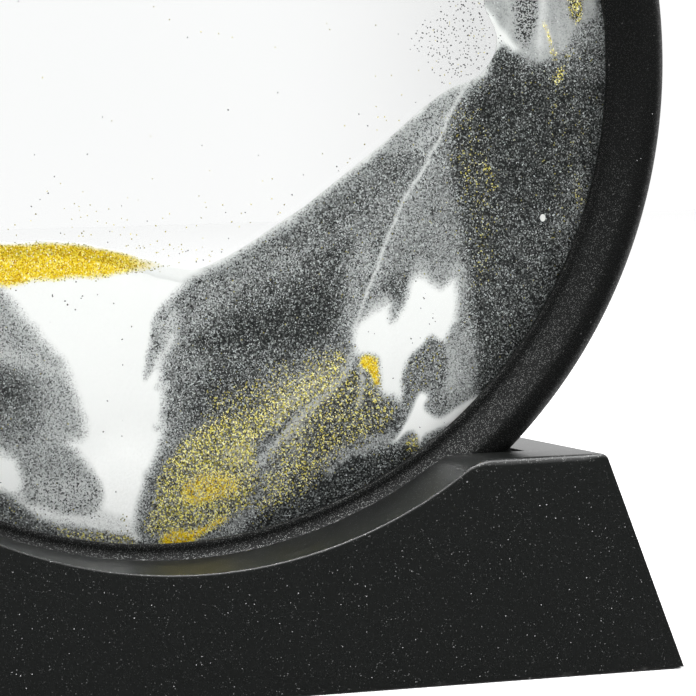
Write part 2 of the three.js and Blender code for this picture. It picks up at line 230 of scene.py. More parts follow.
# Sand layers
# Black, white and gold sand lies on the bottom of the cell, in dunes that the last turn left.
# The grains are about a fifth of a millimetre; where two colours meet they mingle.
pane_low, pane_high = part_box("front_glass")
disc_middle = (pane_low + pane_high) / 2
SAND_HALF_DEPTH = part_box("white_sand")[1].y
FILL_RADIUS = 80.2
FILL_GAP = 0.15
SAND_COLUMNS = 480
SAND_ROWS = 200
CREST_TAPER = 2.6
CREST_HALF_DEPTH = 0.08 * MM
# Painted light along the crest: how much paler the ridge is painted, and how fast that grows towards it
CREST_PAINTED_LIGHT = 0.09
CREST_PAINTED_LIGHT_WIDTH = 2.2
CLOUD_LEAN = 9.0
CLOUD_FOOT = (63, 12)
CLOUD_REACH = (9, 6.5)
GRAIN = 0.21 * MM

# Lines of the picture in millimetres about its middle, as pairs of X and Z
SAND_TOP = [
    (-104, 14.4), (-77, 2), (-61.5, -13.6), (-44, -24.6), (-27, -28.6), (-18, -28.7), (-10, -29.9),
    (-4, -31.6), (2, -33.4), (7, -34.2), (11, -32.9), (14.6, -31.2), (18.1, -29.2), (21.6, -27),
    (25.2, -24.9), (28.8, -22.4), (32.4, -19.8), (36, -17.2), (39.6, -14.6), (43.2, -11.8), (46.9, -8.8),
    (48.7, -7.5), (50.6, -6.2), (52.4, -5.2), (54.2, -4.5), (56.1, -3.9), (57.9, -2.9), (59.3, -1.5),
    (60.9, 0.5), (62.4, 3), (64, 6), (65.6, 9), (67.2, 12), (69.5, 16), (72, 21), (75, 26), (79, 31),
    (104, 40),
]
GOLD_CREST = [
    (-104, 14), (-77, 1.6), (-61.5, -14), (-44, -25), (-27, -29), (-19, -29), (-12, -30), (-8, -30.9),
    (-4, -32), (0, -33.2),
]
GOLD_FLOOR = [
    (-71, -5), (-55, -23), (-41, -33.4), (-27, -35.8), (-20, -35), (-12, -34.7), (-6, -34.4), (-2, -34),
    (3, -33.4),
]
LEFT_DUNE_EDGE = [
    (-33, -30.5), (-27, -36.6), (-22.5, -42), (-19.5, -45.6), (-17, -48.7), (-15.2, -53.7), (-13.7, -58.7),
    (-13.9, -61), (-16.6, -61.9), (-15.3, -63.3), (-13.7, -65), (-11.7, -68.7), (-11.3, -70.4),
    (-12.2, -73.4), (-10, -77), (-8, -84),
]
RIGHT_DUNE_EDGE = [
    (-6, -84), (-4.9, -78), (-4.8, -74.5), (-4.1, -71.5), (-2.9, -68), (-1.3, -65), (-0.3, -62), (0, -59),
    (0.2, -55), (-0.2, -52), (0.2, -47), (-0.9, -43.4), (0.2, -40.8), (2, -38.9), (4, -37.2),
]
DUNE_CREST = [
    (5.8, -36), (9, -34.5), (12, -33.1), (14.6, -31.8), (18.1, -29.8), (21.6, -27.6), (25.2, -25.4),
    (28.8, -23), (32.4, -20.4), (36, -17.8), (39.6, -15.2), (43.2, -12.4), (46.9, -9.5), (48.7, -8.1),
    (50.6, -6.8), (53.3, -5.5), (56.1, -4.6), (57.9, -3.6), (59.3, -2.2), (60.4, -0.6), (61.5, 1.4),
    (62.3, 2.2),
]
WHITE_POCKET = [
    (33.5, -47.1), (34.3, -44.8), (35.6, -43.4), (37.4, -42.1), (39.1, -41.4), (39.8, -41), (39.8, -43.4),
    (40.1, -44.2), (41.1, -43.2), (42.1, -41.8), (43.2, -39.9), (44.1, -37.3), (45.5, -36.2), (46.8, -36.7),
    (48.3, -38.2), (49.3, -38.9), (50.8, -38), (51.9, -37.8), (52.1, -42.6), (51.2, -45.4), (49.3, -48.3),
    (47.1, -47.2), (45.8, -48.3), (44.3, -49.2), (43.2, -50.3), (42.5, -52.9), (41.6, -57.6), (40.3, -56.8),
    (38.1, -56), (38.1, -53.4), (37.7, -50.3), (36, -49.5), (34.2, -49.3),
]
WHITE_WEDGE = [
    (45.2, -56), (46.6, -57.2), (45.9, -58.6), (46.8, -59.8), (48.6, -60.5), (52.3, -59), (55.6, -57.4),
    (54.8, -58.8), (52.5, -60.5), (50, -62), (46, -63.6), (44.8, -65.2), (43.4, -63.1), (40.2, -64.5),
    (41.2, -62.8), (43.3, -59.2),
]
SLOPE_CRACK = [
    (55.7, -4.5), (53.9, -6.4), (52.6, -8.2), (51.2, -9.9), (50, -12.2), (48, -15.9), (47.1, -18.3),
    (44.5, -21.8), (42.9, -24.3), (41.2, -27.6), (39.6, -30.8), (38, -34.3), (36.6, -37.1), (35.3, -40.3),
    (34.4, -43.4), (33.4, -47.1),
]
CLOUD = [
    (57, 14), (58.4, 8.8), (60, 6.6), (61.8, 3.6), (63.9, 0.6), (66, -0.4), (68.1, -0.8), (70.4, -0.4),
    (72.2, 0.5), (73.5, 1.7), (74.2, 3.3), (75.7, 5.2), (77.5, 6.2), (80, 7.6), (84, 9), (84, 44), (57, 44),
]


def smooth_line(points, closed=False, steps=6):
    """Smooth line through given points."""
    p = np.array(points, float)
    run = np.vstack([p[-1], p, p[:2]]) if closed else np.vstack([2 * p[0] - p[1], p, 2 * p[-1] - p[-2]])
    t = np.linspace(0, 1, steps, endpoint=False)[:, None]
    bends = [
        (2 * b + (c - a) * t + (2 * a - 5 * b + 4 * c - d) * t**2 + (3 * b - a - 3 * c + d) * t**3) / 2
        for a, b, c, d in zip(run, run[1:], run[2:], run[3:])
    ]
    return np.vstack(bends if closed else bends + [p[-1]])


def height_on(points, x):
    """Height of a line that runs from left to right."""
    line = smooth_line(points)
    return np.interp(x, np.maximum.accumulate(line[:, 0]), line[:, 1])


def side_on(points, z):
    """Sideways place of a line that runs up or down."""
    line = smooth_line(points)
    order = np.argsort(line[:, 1])
    return np.interp(z, line[order, 1], line[order, 0])


def lean_over(x, z):
    """The cloud of sand hangs over to the left of its foot."""
    foot_x, foot_z = CLOUD_FOOT
    reach_x, reach_z = CLOUD_REACH
    return x - CLOUD_LEAN * np.exp(-(((x - foot_x) / reach_x) ** 2) - ((z - foot_z) / reach_z) ** 2)


def distance_to(line, x, z):
    nearest = np.full(x.shape, np.inf)
    for (ax, az), (bx, bz) in zip(line, line[1:]):
        dx, dz = bx - ax, bz - az
        share = np.clip(((x - ax) * dx + (z - az) * dz) / (dx * dx + dz * dz + 1e-12), 0, 1)
        nearest = np.minimum(nearest, np.hypot(x - ax - share * dx, z - az - share * dz))
    return nearest


def is_inside(line, x, z):
    inside = np.zeros(x.shape, bool)
    for (ax, az), (bx, bz) in zip(line, np.roll(line, -1, axis=0)):
        if az != bz:
            inside ^= ((az > z) != (bz > z)) & (x < (bx - ax) * (z - az) / (bz - az) + ax)
    return inside


def cover(edge, softness):
    """1 well inside an edge, 0 well outside it; edge is negative inside."""
    share = np.clip(0.5 - edge / (2 * softness), 0, 1)
    return share * share * (3 - 2 * share)


def patch(points, softness, x, z):
    line = smooth_line(points, closed=True)
    edge = distance_to(np.vstack([line, line[:1]]), x, z)
    return cover(np.where(is_inside(line, x, z), -edge, edge), softness)


def streak(points, width, softness, x, z):
    return cover(distance_to(smooth_line(points), x, z) - width / 2, softness)


def drift(x, z, size, seed):
    """Slow noise from -1 to 1 over the picture, with waves of a size in millimetres."""
    return np.array([noise.noise((a / size, b / size, seed)) for a, b in zip(x, z)])


# The picture is laid from its large stains to its small ones. Each stain has its outline, the
# softness of its edge and what it sets: the tone from 0 to 255, the shares of gold grains and of
# dark ones among white, and the strength of the speckle. A streak has a line and a width instead.
FAR = 110
WHITE_TONE = 236
DUNE_STAINS = [
    # The first stain is painted light: the foot of the white valley between the dunes is painted paler than
    # bare white sand, against the shade of the ring there
    ([(-14, -66), (-6, -62), (-1, -66), (-3, -76), (-8, -80), (-12, -74)], 5, {"tone": 252}),
    (LEFT_DUNE_EDGE + [(-FAR, -84), (-FAR, 20), (-60, 0)], 1.5, {"tone": 150, "speckle": 0.8}),
    ([(-80, -20), (-50, -38), (-33, -44), (-24, -47), (-20.5, -52), (-21, -59), (-27, -61), (-60, -50)], 3,
     {"tone": 108}),
    ([(-34, -48), (-28, -50), (-23.4, -52.4), (-23, -55), (-28, -55.6), (-40, -52)], 1.6, {"tone": 86}),
    ([(-60, -40), (-30, -44.6), (-23.4, -46.6), (-19.6, -47.6), (-17.1, -49.5), (-20, -50.4), (-24, -49.4),
      (-30, -48.4), (-60, -45)], 1.5, {"tone": 164, "speckle": 0.7}),
    ([(-50, -58), (-28, -62.6), (-24, -66.4), (-24.4, -69.6), (-28, -70), (-60, -66)], 1.3, {"tone": 232}),
    ([(-24, -63), (-19, -62), (-15.6, -63.6), (-12.4, -68), (-12, -71), (-14, -73.4), (-20, -72.6),
      (-23, -70)], 1.5, {"tone": 136}),
    ([(-23, -68.4), (-19, -67.4), (-14.6, -67), (-11.8, -69), (-11.8, -73), (-16, -73.6), (-21, -72.4)],
     1.8, {"tone": 166, "pepper": 0.1}),
    ([(-26, -70.4), (-20, -72.6), (-14, -74), (-10, -73.6), (-6, -76), (-6, -78.6), (-14, -76),
      (-26, -72.6)], 0.9, {"tone": 220}),
    ([(-60, -70), (-28, -71.6), (-23, -74.3), (-18, -75.7), (-13, -76.7), (-8, -77.3), (-5, -79), (-8, -86),
      (-60, -86)], 0.8, {"tone": 116, "gold": 0.20}),
    ([(-60, -66), (-34, -67.4), (-28, -69.2), (-25, -71), (-22.4, -73.4), (-20, -75), (-18, -76.6),
      (-20, -80), (-60, -80)], 0.9, {"tone": 92, "gold": 0.02}),
    (RIGHT_DUNE_EDGE + DUNE_CREST + [(FAR, 60), (FAR, -84)], 1.2, {"tone": 118}),
    ([(-3.1, -51.8), (-2.8, -48.9), (-2, -46.1), (-1.1, -43.1), (0.3, -40.7), (2, -42), (1.6, -45),
      (0, -47.4), (-1.6, -49.6)], 0.7, {"tone": 140}),
    ([(-0.4, -44), (2.4, -41), (3.4, -44), (2, -47), (0.8, -50), (-0.4, -50), (0.4, -47)], 1.0,
     {"tone": 160}),
    ([(22, -29.4), (27, -26.8), (33, -22.8), (38, -19.2), (42, -15.8), (45, -14.6), (44, -18), (36, -25),
      (24, -31.6)], 1.6, {"tone": 97}),
    ([(5, -46.4), (12, -41), (18, -37), (24, -35), (29, -31), (33, -29.6), (34, -34), (32, -38),
      (31.6, -43), (29, -48), (23, -51), (18, -53.6), (16, -58), (11, -60.4), (5, -59), (4.4, -54),
      (8, -50)], 2.4, {"tone": 86}),
    ([(6, -46), (10, -44), (16, -42), (22, -39.6), (28, -38), (30, -42), (28, -46.4), (22, -47.6),
      (12, -46.6)], 1.8, {"tone": 68}),
    ([(55, -5.6), (50.5, -7), (46, -10.2), (41, -14.6), (41.4, -16.2), (47, -14.8), (50, -11.4),
      (52.6, -8.6)], 0.7, {"tone": 148}),
    ([(32, -34), (36, -30), (38, -33), (35.4, -39), (34, -44), (32.4, -44), (33, -39)], 1.6, {"tone": 132}),
    ([(38.8, -34.3), (40.3, -31.8), (42.1, -29), (45, -23.6), (49, -18.4), (52, -23), (53.6, -33),
      (53.9, -36), (52.3, -37.4), (48.8, -38.4), (46.3, -35.8), (44.8, -34.8), (42.8, -36.2),
      (40.8, -36.1)], 1.5, {"tone": 124, "speckle": 0.8}),
    ([(37.7, -37.8), (39.5, -36.5), (41.8, -35.8), (43, -36.8), (42.7, -39.4), (41.4, -41.7), (40.4, -42.7),
      (39.9, -40.3), (38.2, -39.3)], 0.9, {"tone": 98}),
    ([(44, -36.2), (46, -34), (50, -34.6), (53.4, -36), (54, -42), (52.6, -46), (55.4, -48), (55, -57),
      (50.6, -58), (50, -50), (51.8, -44), (52.4, -38)], 1.0, {"tone": 138, "speckle": 0.7}),
    ([(50.1, -48.2), (51.8, -50.9), (52.3, -53.6), (50.9, -56.4), (49.4, -56.8), (50, -53.5)], 0.9,
     {"tone": 156, "speckle": 0.6}),
    ([(53, -10), (56, -7), (62, -1.6), (72, -2), (84, -6), (84, -30), (72, -48), (60, -58), (55.4, -57),
      (55.6, -48), (54.8, -40), (53.6, -30), (51.6, -18)], 1.6, {"tone": 71}),
    ([(57, -6), (64, -3.6), (72, -6), (74, -12), (72, -24), (66, -28), (60, -22), (56, -16)], 3,
     {"tone": 62}),
    ([(59.6, -2), (61.4, 1.8), (64, -0.4), (66, -3), (62, -5)], 0.9, {"tone": 72}),
    ([(66, -0.8), (72, -0.6), (80, 2), (80, -4), (70, -3.4)], 1.2, {"tone": 92}),
    ([(71, -26), (74, -19), (76, -22), (74, -32), (71, -34)], 1.3, {"tone": 92}),
    ([(-6, -80), (-2, -70), (4, -61), (10, -59.6), (18, -61), (26, -57), (20, -66), (14, -74), (2, -80)],
     2.2, {"tone": 106}),
    ([(14, -68), (20, -62.4), (25, -57.6), (29.4, -54), (33.4, -48.6), (32, -53), (26, -59), (20, -64.4),
      (15, -69)], 1.0, {"tone": 152}),
    ([(23, -66), (26, -60), (30, -55), (33.4, -51.4), (36.4, -56), (40, -59), (41, -62), (34, -63),
      (27, -67), (20, -74)], 1.2, {"tone": 86}),
    ([(12, -80), (20, -73), (27, -68.6), (34, -66.4), (40, -65.4), (46, -65.4), (57, -58.4), (66, -52),
      (40, -78), (12, -88)], 0.9, {"tone": 66}),
]
GOLD_STAINS = [
    ([(8, -56), (14, -53), (22, -50.4), (31, -48), (30, -53), (24, -57.6), (16, -61.6), (9, -60)], 2.2,
     {"gold": 0.14}),
    ([(7, -60.4), (11, -59), (15, -58.4), (19, -55.6), (24, -53.4), (28, -51), (31.4, -49.6), (29, -54),
      (24, -57.6), (18, -61.4), (14, -64.6), (9, -63)], 1.6, {"gold": 0.40}),
    ([(20, -57), (24, -55), (28, -51.6), (26, -55.4), (22, -58.4), (18.6, -60.6)], 1.3,
     {"tone": 150, "gold": 0.30}),
    ([(-0.4, -68), (1.8, -64.2), (4.9, -61.1), (9, -60), (12, -62), (15.4, -64.6), (15.6, -69),
      (14.6, -72.4), (12, -75), (7, -77), (1, -78.6), (-3.2, -76.6), (-1.9, -72.5)], 1.4, {"gold": 0.38}),
    ([(11, -63.6), (14, -63), (15.6, -64.6), (13.6, -67), (11, -66)], 1.2, {"tone": 146, "gold": 0.42}),
    ([(3.6, -69.6), (7, -68.2), (12, -68.8), (12.4, -71), (9, -72.4), (5, -73.2), (3, -72)], 1.2,
     {"tone": 150, "gold": 0.66}),
    ([(-0.6, -78), (2, -77.4), (5, -77.6), (9.6, -75.6), (10.4, -76), (6, -78.6), (4, -80.4),
      (-0.6, -80.4)], 0.7, {"tone": 160, "gold": 0.80}),
    ([(18, -66), (22, -60.6), (26, -57.4), (31, -52.4), (35, -53.4), (40, -58), (38, -62), (30, -66),
      (24, -72), (16, -75)], 1.8, {"gold": 0.22}),
    ([(50.4, -11.4), (54, -9), (57, -13), (59, -28), (57.6, -37), (55.6, -37), (53, -20)], 2.4,
     {"gold": 0.07}),
    ([(62, -6), (72, -2), (76, -20), (74, -32), (70, -28), (68, -10)], 3, {"gold": 0.02}),
    ([(42.8, -64.6), (44.4, -64), (44.6, -66), (43, -66.2)], 0.7, {"gold": 0.4}),
]
GOLD_STREAKS = [
    ([(57.2, -17.6), (58.5, -20.9), (59.7, -21.8)], 0.8, 1.2, {"gold": 0.2}),
    ([(54, -18.8), (54.2, -20.4)], 0.8, 0.9, {"gold": 0.25}),
    ([(71.8, -2.2), (71.2, -4)], 0.9, 0.7, {"gold": 0.45}),
    ([(72.6, 0.8), (73.4, 0.2)], 0.6, 0.6, {"gold": 0.3}),
    ([(74.2, -21.6), (74.9, -24), (75.4, -25.2)], 0.8, 0.9, {"gold": 0.25}),
]
WHITE_STREAKS = [
    ([(x + 1.3, z) for x, z in SLOPE_CRACK[6:13]], 1.6, 1.3, {"tone": 138}),
    (SLOPE_CRACK, 0.6, 0.45, {"tone": 204, "speckle": 0.5}),
    ([(2.2, -45.4), (1, -47.2), (-0.2, -48.7), (-1.2, -50)], 0.9, 0.8, {"tone": 206, "speckle": 0.6}),
    ([(16.7, -66.3), (20, -63.3), (25.3, -58.3), (29.7, -54.8), (32.6, -51), (33.6, -48.6)], 0.7, 0.8,
     {"tone": 172, "speckle": 0.7}),
    ([(40.4, -63.6), (37, -64.4), (34.2, -65.5), (32.2, -66.3), (28, -69)], 0.9, 0.9,
     {"tone": 148, "speckle": 0.7}),
    ([(34.6, -51), (34.7, -54), (34.2, -57.6)], 0.9, 0.6, {"tone": 172, "gold": 0.12, "speckle": 0.7}),
    ([(-1, -53.3), (0.8, -53)], 0.7, 0.8, {"tone": 196}),
    ([(-7.6, -74.6), (-6.4, -76.4), (-5.2, -78.2)], 1.0, 0.9, {"tone": 226, "gold": 0.03}),
    ([(-1.2, -60.2), (0.4, -60)], 0.7, 0.8, {"tone": 190}),
]
WHITE_STAINS = [
    ([(43.6, -38.6), (44.2, -35.6), (45.4, -33.4), (46.2, -34.2), (47.2, -36), (49.2, -37.6), (50.8, -36.6),
      (52.2, -34.8), (53, -37.6), (52.6, -43), (50, -46), (45, -44)], 1.3, {"tone": 166, "speckle": 0.7}),
    ([(33.2, -46.6), (34.6, -43.4), (36.8, -40.6), (39.4, -39.4), (40.6, -41.4), (39.6, -44.6), (36, -47)],
     1.1, {"tone": 170, "speckle": 0.7}),
    (WHITE_POCKET, 1.0, {"tone": 236, "gold": 0.0, "pepper": 0.004}),
    ([(43.2, -50.6), (44.3, -49.2), (47.1, -47.3), (48.6, -47.7), (49.4, -48.7), (49.6, -51.1), (49.5, -53),
      (48.4, -54.3), (46.9, -54.5), (44.9, -55.6), (43.8, -57), (42.8, -58.6), (42.1, -58.1), (42.1, -56),
      (42.5, -52.9)], 0.6, {"tone": 110, "gold": 0.05}),
    (WHITE_WEDGE, 0.55, {"tone": 246, "gold": 0.0, "speckle": 0.6}),
    ([(34.6, -49.8), (36, -49.5), (37.6, -50.3), (38, -52.3), (38, -54.1), (37.4, -54.8), (36.8, -53.6),
      (35.9, -51.9), (34.7, -51.2)], 0.5, {"tone": 190, "gold": 0.93}),
    ([(56.4, 8.6), (60, 7), (61.6, 3.4), (60, -0.2), (57.6, -3), (55.6, 3)], 0.8,
     {"tone": 224, "pepper": 0.06}),
    ([(-27, -36.4), (-20, -35.4), (-12, -35.2), (-13, -38), (-20, -41), (-25, -40)], 1.2,
     {"pepper": 0.008}),
]
CLOUD_STREAKS = [
    ([(59.2, 16), (59.2, 9.4)], 1.4, 0.7, {"tone": 148}),
    ([(61.8, 16), (61.7, 9), (61.9, 7)], 1.2, 0.9, {"tone": 158}),
    ([(58.3, 8.2), (60.5, 5.6), (62, 3.5), (63.5, 1.5)], 1.3, 0.6, {"tone": 238}),
    ([(69, 18), (68.6, 9), (68, 1.6)], 1.2, 1.2, {"tone": 200}),
    ([(68.9, 5.6), (69.8, 3.6), (70.2, 2.2)], 0.5, 0.35, {"tone": 205, "gold": 0.5}),
    ([(70.4, 1), (70.9, 0.2)], 0.6, 0.4, {"gold": 0.6}),
    ([(77.4, 18), (77.2, 8.6)], 1.0, 0.7, {"tone": 182}),
    ([(79.8, 18), (79.6, 7)], 1.8, 0.8, {"tone": 84, "speckle": 1.0}),
]
CLOUD_STAINS = [
    ([(63.4, 16), (63.6, 8.9), (63.8, 5.4), (64.6, 2.7), (66.4, 2.9), (67.3, 6.3), (67.1, 8.2), (66.8, 16)],
     0.9, {"tone": 150, "pepper": 0.42, "speckle": 0.8}),
    ([(73.1, 18), (73.1, 9.5), (73.9, 6.7), (75.1, 5.4), (75.9, 6.7), (76, 9.5), (76, 18)], 0.5,
     {"tone": 120, "pepper": 0.35, "gold": 0.32, "speckle": 1.0}),
]
BARE_SAND = {"tone": WHITE_TONE, "gold": 0.0, "pepper": 0.001, "speckle": 1.0}
GOLD_LAYER = {"tone": 232, "gold": 0.97}
GOLD_CREST_SOFTNESS = 0.6
GOLD_FLOOR_SOFTNESS = 0.8
GOLD_FADE = (-2, 6.5)
GOLD_END = 2
CLOUD_SAND = {"tone": 166, "gold": 0.0, "speckle": 0.25}
CLOUD_SOFTNESS = 0.7

# Waves that fray the edges of the stains or change the tone inside them: the amount in millimetres
# or in tone, the size in millimetres and the seed
SLOW_FRAY_X, FINE_FRAY_X = (0.5, 8, 3), (0.28, 1.9, 11)
SLOW_FRAY_Z, FINE_FRAY_Z = (0.5, 8, 17), (0.28, 1.9, 29)
DUNE_MOTTLE = (9, 3.2, 71)
BROAD_MOTTLE, FINE_MOTTLE = (5, 5, 61), (4, 1.6, 67)
CLOUD_COMB = (16, 1.5, 41)
COMB_SLANT = 0.12
COMB_STRETCH = 0.2

# Changes that keep to sand darker than a level: the level and the softness of its edge
STRAY_GOLD_TONES = (150, 40)
DUNE_MOTTLE_TONES = (190, 30)
MOTTLE_TONES = (200, 40)
STRAY_GOLD = 0.004
TONE_RANGE = (20, 248)


def paint(x, z):
    """Tone, shares of gold and of dark grains and strength of the speckle at points of the picture."""
    marks = {mark: np.full(x.shape, float(value)) for mark, value in BARE_SAND.items()}
    tone = marks["tone"]

    def waves(amount, size, seed):
        return amount * drift(x, z, size, seed)

    def darker_than(level, softness):
        return cover(tone - level, softness)

    bent_x = x + waves(*SLOW_FRAY_X) + waves(*FINE_FRAY_X)
    bent_z = z + waves(*SLOW_FRAY_Z) + waves(*FINE_FRAY_Z)

    def lay(share, new_marks):
        for mark, value in new_marks.items():
            marks[mark] += (value - marks[mark]) * share

    def lay_stains(stains):
        for outline, softness, new_marks in stains:
            lay(patch(outline, softness, bent_x, bent_z), new_marks)

    def lay_streaks(streaks):
        for line, width, softness, new_marks in streaks:
            lay(streak(line, width, softness, bent_x, bent_z), new_marks)

    lay_stains(DUNE_STAINS + GOLD_STAINS)
    lay_streaks(GOLD_STREAKS)
    marks["gold"] += STRAY_GOLD * darker_than(*STRAY_GOLD_TONES)
    tone += waves(*DUNE_MOTTLE) * darker_than(*DUNE_MOTTLE_TONES)
    lay_streaks(WHITE_STREAKS)
    lay_stains(WHITE_STAINS)

    under_crest = cover(bent_z - height_on(GOLD_CREST, bent_x), GOLD_CREST_SOFTNESS)
    over_floor = cover(height_on(GOLD_FLOOR, bent_x) - bent_z, GOLD_FLOOR_SOFTNESS)
    fade_from, fade_softness = GOLD_FADE
    lay(under_crest * over_floor * cover(bent_x - fade_from, fade_softness), GOLD_LAYER)

    in_cloud = patch(CLOUD, CLOUD_SOFTNESS, bent_x, bent_z)
    lay(in_cloud, CLOUD_SAND)
    lay_streaks(CLOUD_STREAKS)
    lay_stains(CLOUD_STAINS)
    comb, comb_size, comb_seed = CLOUD_COMB
    tone += comb * drift(x + COMB_SLANT * z, COMB_STRETCH * z, comb_size, comb_seed) * in_cloud
    tone += darker_than(*MOTTLE_TONES) * (waves(*BROAD_MOTTLE) + waves(*FINE_MOTTLE))
    marks["tone"] = np.clip(tone, *TONE_RANGE) / 255
    return marks


def grid_faces(columns, rows):
    """Faces of a grid whose points run up one column after the other."""
    tall = rows + 1
    corner = (np.arange(columns)[:, None] * tall + np.arange(rows)).ravel()
    return np.stack([corner, corner + tall, corner + tall + 1, corner + 1], axis=1)


column_x = np.linspace(-FILL_RADIUS + FILL_GAP, FILL_RADIUS - FILL_GAP, SAND_COLUMNS + 1)
wall_z = np.sqrt(FILL_RADIUS**2 - column_x**2)
top_z = np.minimum(height_on(SAND_TOP, column_x), wall_z)
rise = np.linspace(0, 1, SAND_ROWS + 1)
grid_x = np.repeat(column_x, SAND_ROWS + 1)
grid_z = (-wall_z[:, None] + (top_z + wall_z)[:, None] * rise).ravel()
under_top = np.clip(distance_to(smooth_line(SAND_TOP), grid_x, grid_z) / CREST_TAPER, 0, 1)
grid_x = lean_over(grid_x, grid_z)
grid_marks = paint(grid_x, grid_z)

# The sand fills the cell from pane to pane and narrows to a ridge along its crest, where painted light
# makes the sand paler
grid_depth = np.maximum(SAND_HALF_DEPTH * under_top, CREST_HALF_DEPTH)
crest_light_share = np.clip(CREST_PAINTED_LIGHT_WIDTH * (1 - under_top), 0, 1)
grid_marks["tone"] = np.minimum(grid_marks["tone"] * (1 + CREST_PAINTED_LIGHT * crest_light_share), 1)

grid_cells = grid_faces(SAND_COLUMNS, SAND_ROWS)
cell_x = grid_x[grid_cells].mean(axis=1)
cell_z = grid_z[grid_cells].mean(axis=1)
in_gold = (cell_x < GOLD_END) & (cell_z > height_on(GOLD_FLOOR, cell_x))
in_left = ~in_gold & (cell_x < side_on(LEFT_DUNE_EDGE, cell_z))
in_right = ~in_gold & (cell_x > side_on(RIGHT_DUNE_EDGE, cell_z))
in_pocket = in_right & is_inside(smooth_line(WHITE_POCKET, closed=True), cell_x, cell_z)
in_white = ~(in_gold | in_left | in_right)

# How far single grains depart from the tone about them, which is 0 for black and 1 for white
GRAIN_SWING = 0.5
SWING_FROM_WHITE = (0.91, 0.5)
SWING_BEND = 0.6
SWING_FROM_BLACK = 3.0
FEW_ODD_GRAINS = 3.0
ODD_GRAIN = 1.05
COMMON_GRAIN = 0.35
DARK_SAND_UP_TO = 0.25
PALE_SAND_FROM = 0.62
DARKEST_GRAIN = 0.02
SCREEN_POWER = 2.2
PEPPER_TONE = 0.09
GLINT_FROM = 0.993
GLINT_TONE = 0.6
DARK_TINT = (0.905, 0.995, 0.98, 1)
WHITE_TINT = (0.985, 1.0, 0.98, 1)

# Gold grains by the share of gold about them
GOLD_VEIL = (1.0, 0.77, 0.15, 1)
VEIL_SHARES = (0.05, 0.75)
LEMON_SHARES = (0.02, 0.2)
LEMON_SHINE = (0.42, 1.2)
DEEP_SHARES = (0.4, 0.8)
LEMON_GRAINS = [
    (0.0, (0.16, 0.145, 0.016, 1)), (0.35, (0.46, 0.41, 0.06, 1)), (0.7, (0.86, 0.80, 0.22, 1)),
    (1.0, (1.0, 1.0, 0.70, 1)),
]
DEEP_GRAINS = [
    (0.0, (0.44, 0.22, 0.002, 1)), (0.3, (0.78, 0.51, 0.006, 1)), (0.7, (0.93, 0.72, 0.03, 1)),
    (0.92, (1.0, 0.90, 0.22, 1)), (1.0, (1.0, 0.98, 0.80, 1)),
]
GOLD_METAL = 0.15
SAND_ROUGHNESS = 0.9
GOLD_ROUGHNESS = 0.38
GRAIN_TILT = 0.15
GOLD_TILT = 0.5
SAND_SPECULAR = 0.2


def worked(tree, value, *operations):
    """Works a value through operations in turn, each a pair of its name and its second value."""
    for operation, second in operations:
        value = math_node(tree, operation, value, second)
    return value


def vector_node(tree, operation, first, second=(0, 0, 0)):
    """Vector sum and the like; for SCALE the second value is the factor."""
    inputs = {0: first, "Scale" if operation == "SCALE" else 1: second}
    return outlet(tree, "ShaderNodeVectorMath", inputs, operation=operation)


def diced_cells(tree, place, size):
    """Cells of a size, with three dice from 0 to 1 for each."""
    scale = math_node(tree, "DIVIDE", 1.0, size)
    cells = add_node(tree, "ShaderNodeTexVoronoi", {"Vector": place, "Scale": scale}).outputs
    return cells, add_node(tree, "ShaderNodeSeparateColor", {0: cells["Color"]}).outputs


def colour_steps(tree, share, steps):
    """Colour ramp; steps are pairs of a place from 0 to 1 and a colour."""
    ramp = add_node(tree, "ShaderNodeValToRGB", {0: share})
    marks = ramp.color_ramp.elements
    while len(marks) < len(steps):
        marks.new(1.0)
    for mark, (place, colour) in zip(marks, steps):
        mark.position = place
        mark.color = colour
    return ramp.outputs[0]


sand_grains, grains_in, grains_out = new_effect(
    "sand_grains",
    {"Tone": 1.0, "Gold": 0.0, "Pepper": 0.0, "Speckle": 1.0, "Grain": GRAIN, "Tilt": GRAIN_TILT},
    ("Colour", "Metal", "Roughness", "Normal"),
)
sand_tone, gold_share = grains_in["Tone"], grains_in["Gold"]
grain_place = own_place(sand_grains)
grain_cells, grain_dice = diced_cells(sand_grains, grain_place, grains_in["Grain"])
is_gold = math_node(sand_grains, "LESS_THAN", grain_dice[2], gold_share)
is_pepper = math_node(sand_grains, "LESS_THAN", grain_dice[0], grains_in["Pepper"])
is_glint = math_node(sand_grains, "GREATER_THAN", grain_dice[0], GLINT_FROM)

# The grains differ most at middle tones and hardly at all in white sand. Dark sand has a few pale
# grains in it, and pale sand a few dark ones.
from_white = span(sand_grains, sand_tone, *SWING_FROM_WHITE)
from_white = worked(sand_grains, from_white, ("POWER", SWING_BEND), ("MULTIPLY", GRAIN_SWING))
from_black = worked(sand_grains, sand_tone, ("MULTIPLY", SWING_FROM_BLACK), ("MINIMUM", 1.0))
grain_swing = worked(sand_grains, from_white, ("MULTIPLY", from_black), ("MULTIPLY", grains_in["Speckle"]))
pale_few = math_node(sand_grains, "POWER", grain_dice[1], FEW_ODD_GRAINS)
dark_few = math_node(sand_grains, "POWER", rest_of(sand_grains, grain_dice[1]), FEW_ODD_GRAINS)
pale_side = span(sand_grains, pale_few, 0.0, 1.0, -COMMON_GRAIN, ODD_GRAIN)
dark_side = span(sand_grains, dark_few, 0.0, 1.0, COMMON_GRAIN, -ODD_GRAIN)
grain_side = span(sand_grains, sand_tone, DARK_SAND_UP_TO, PALE_SAND_FROM, pale_side, dark_side)
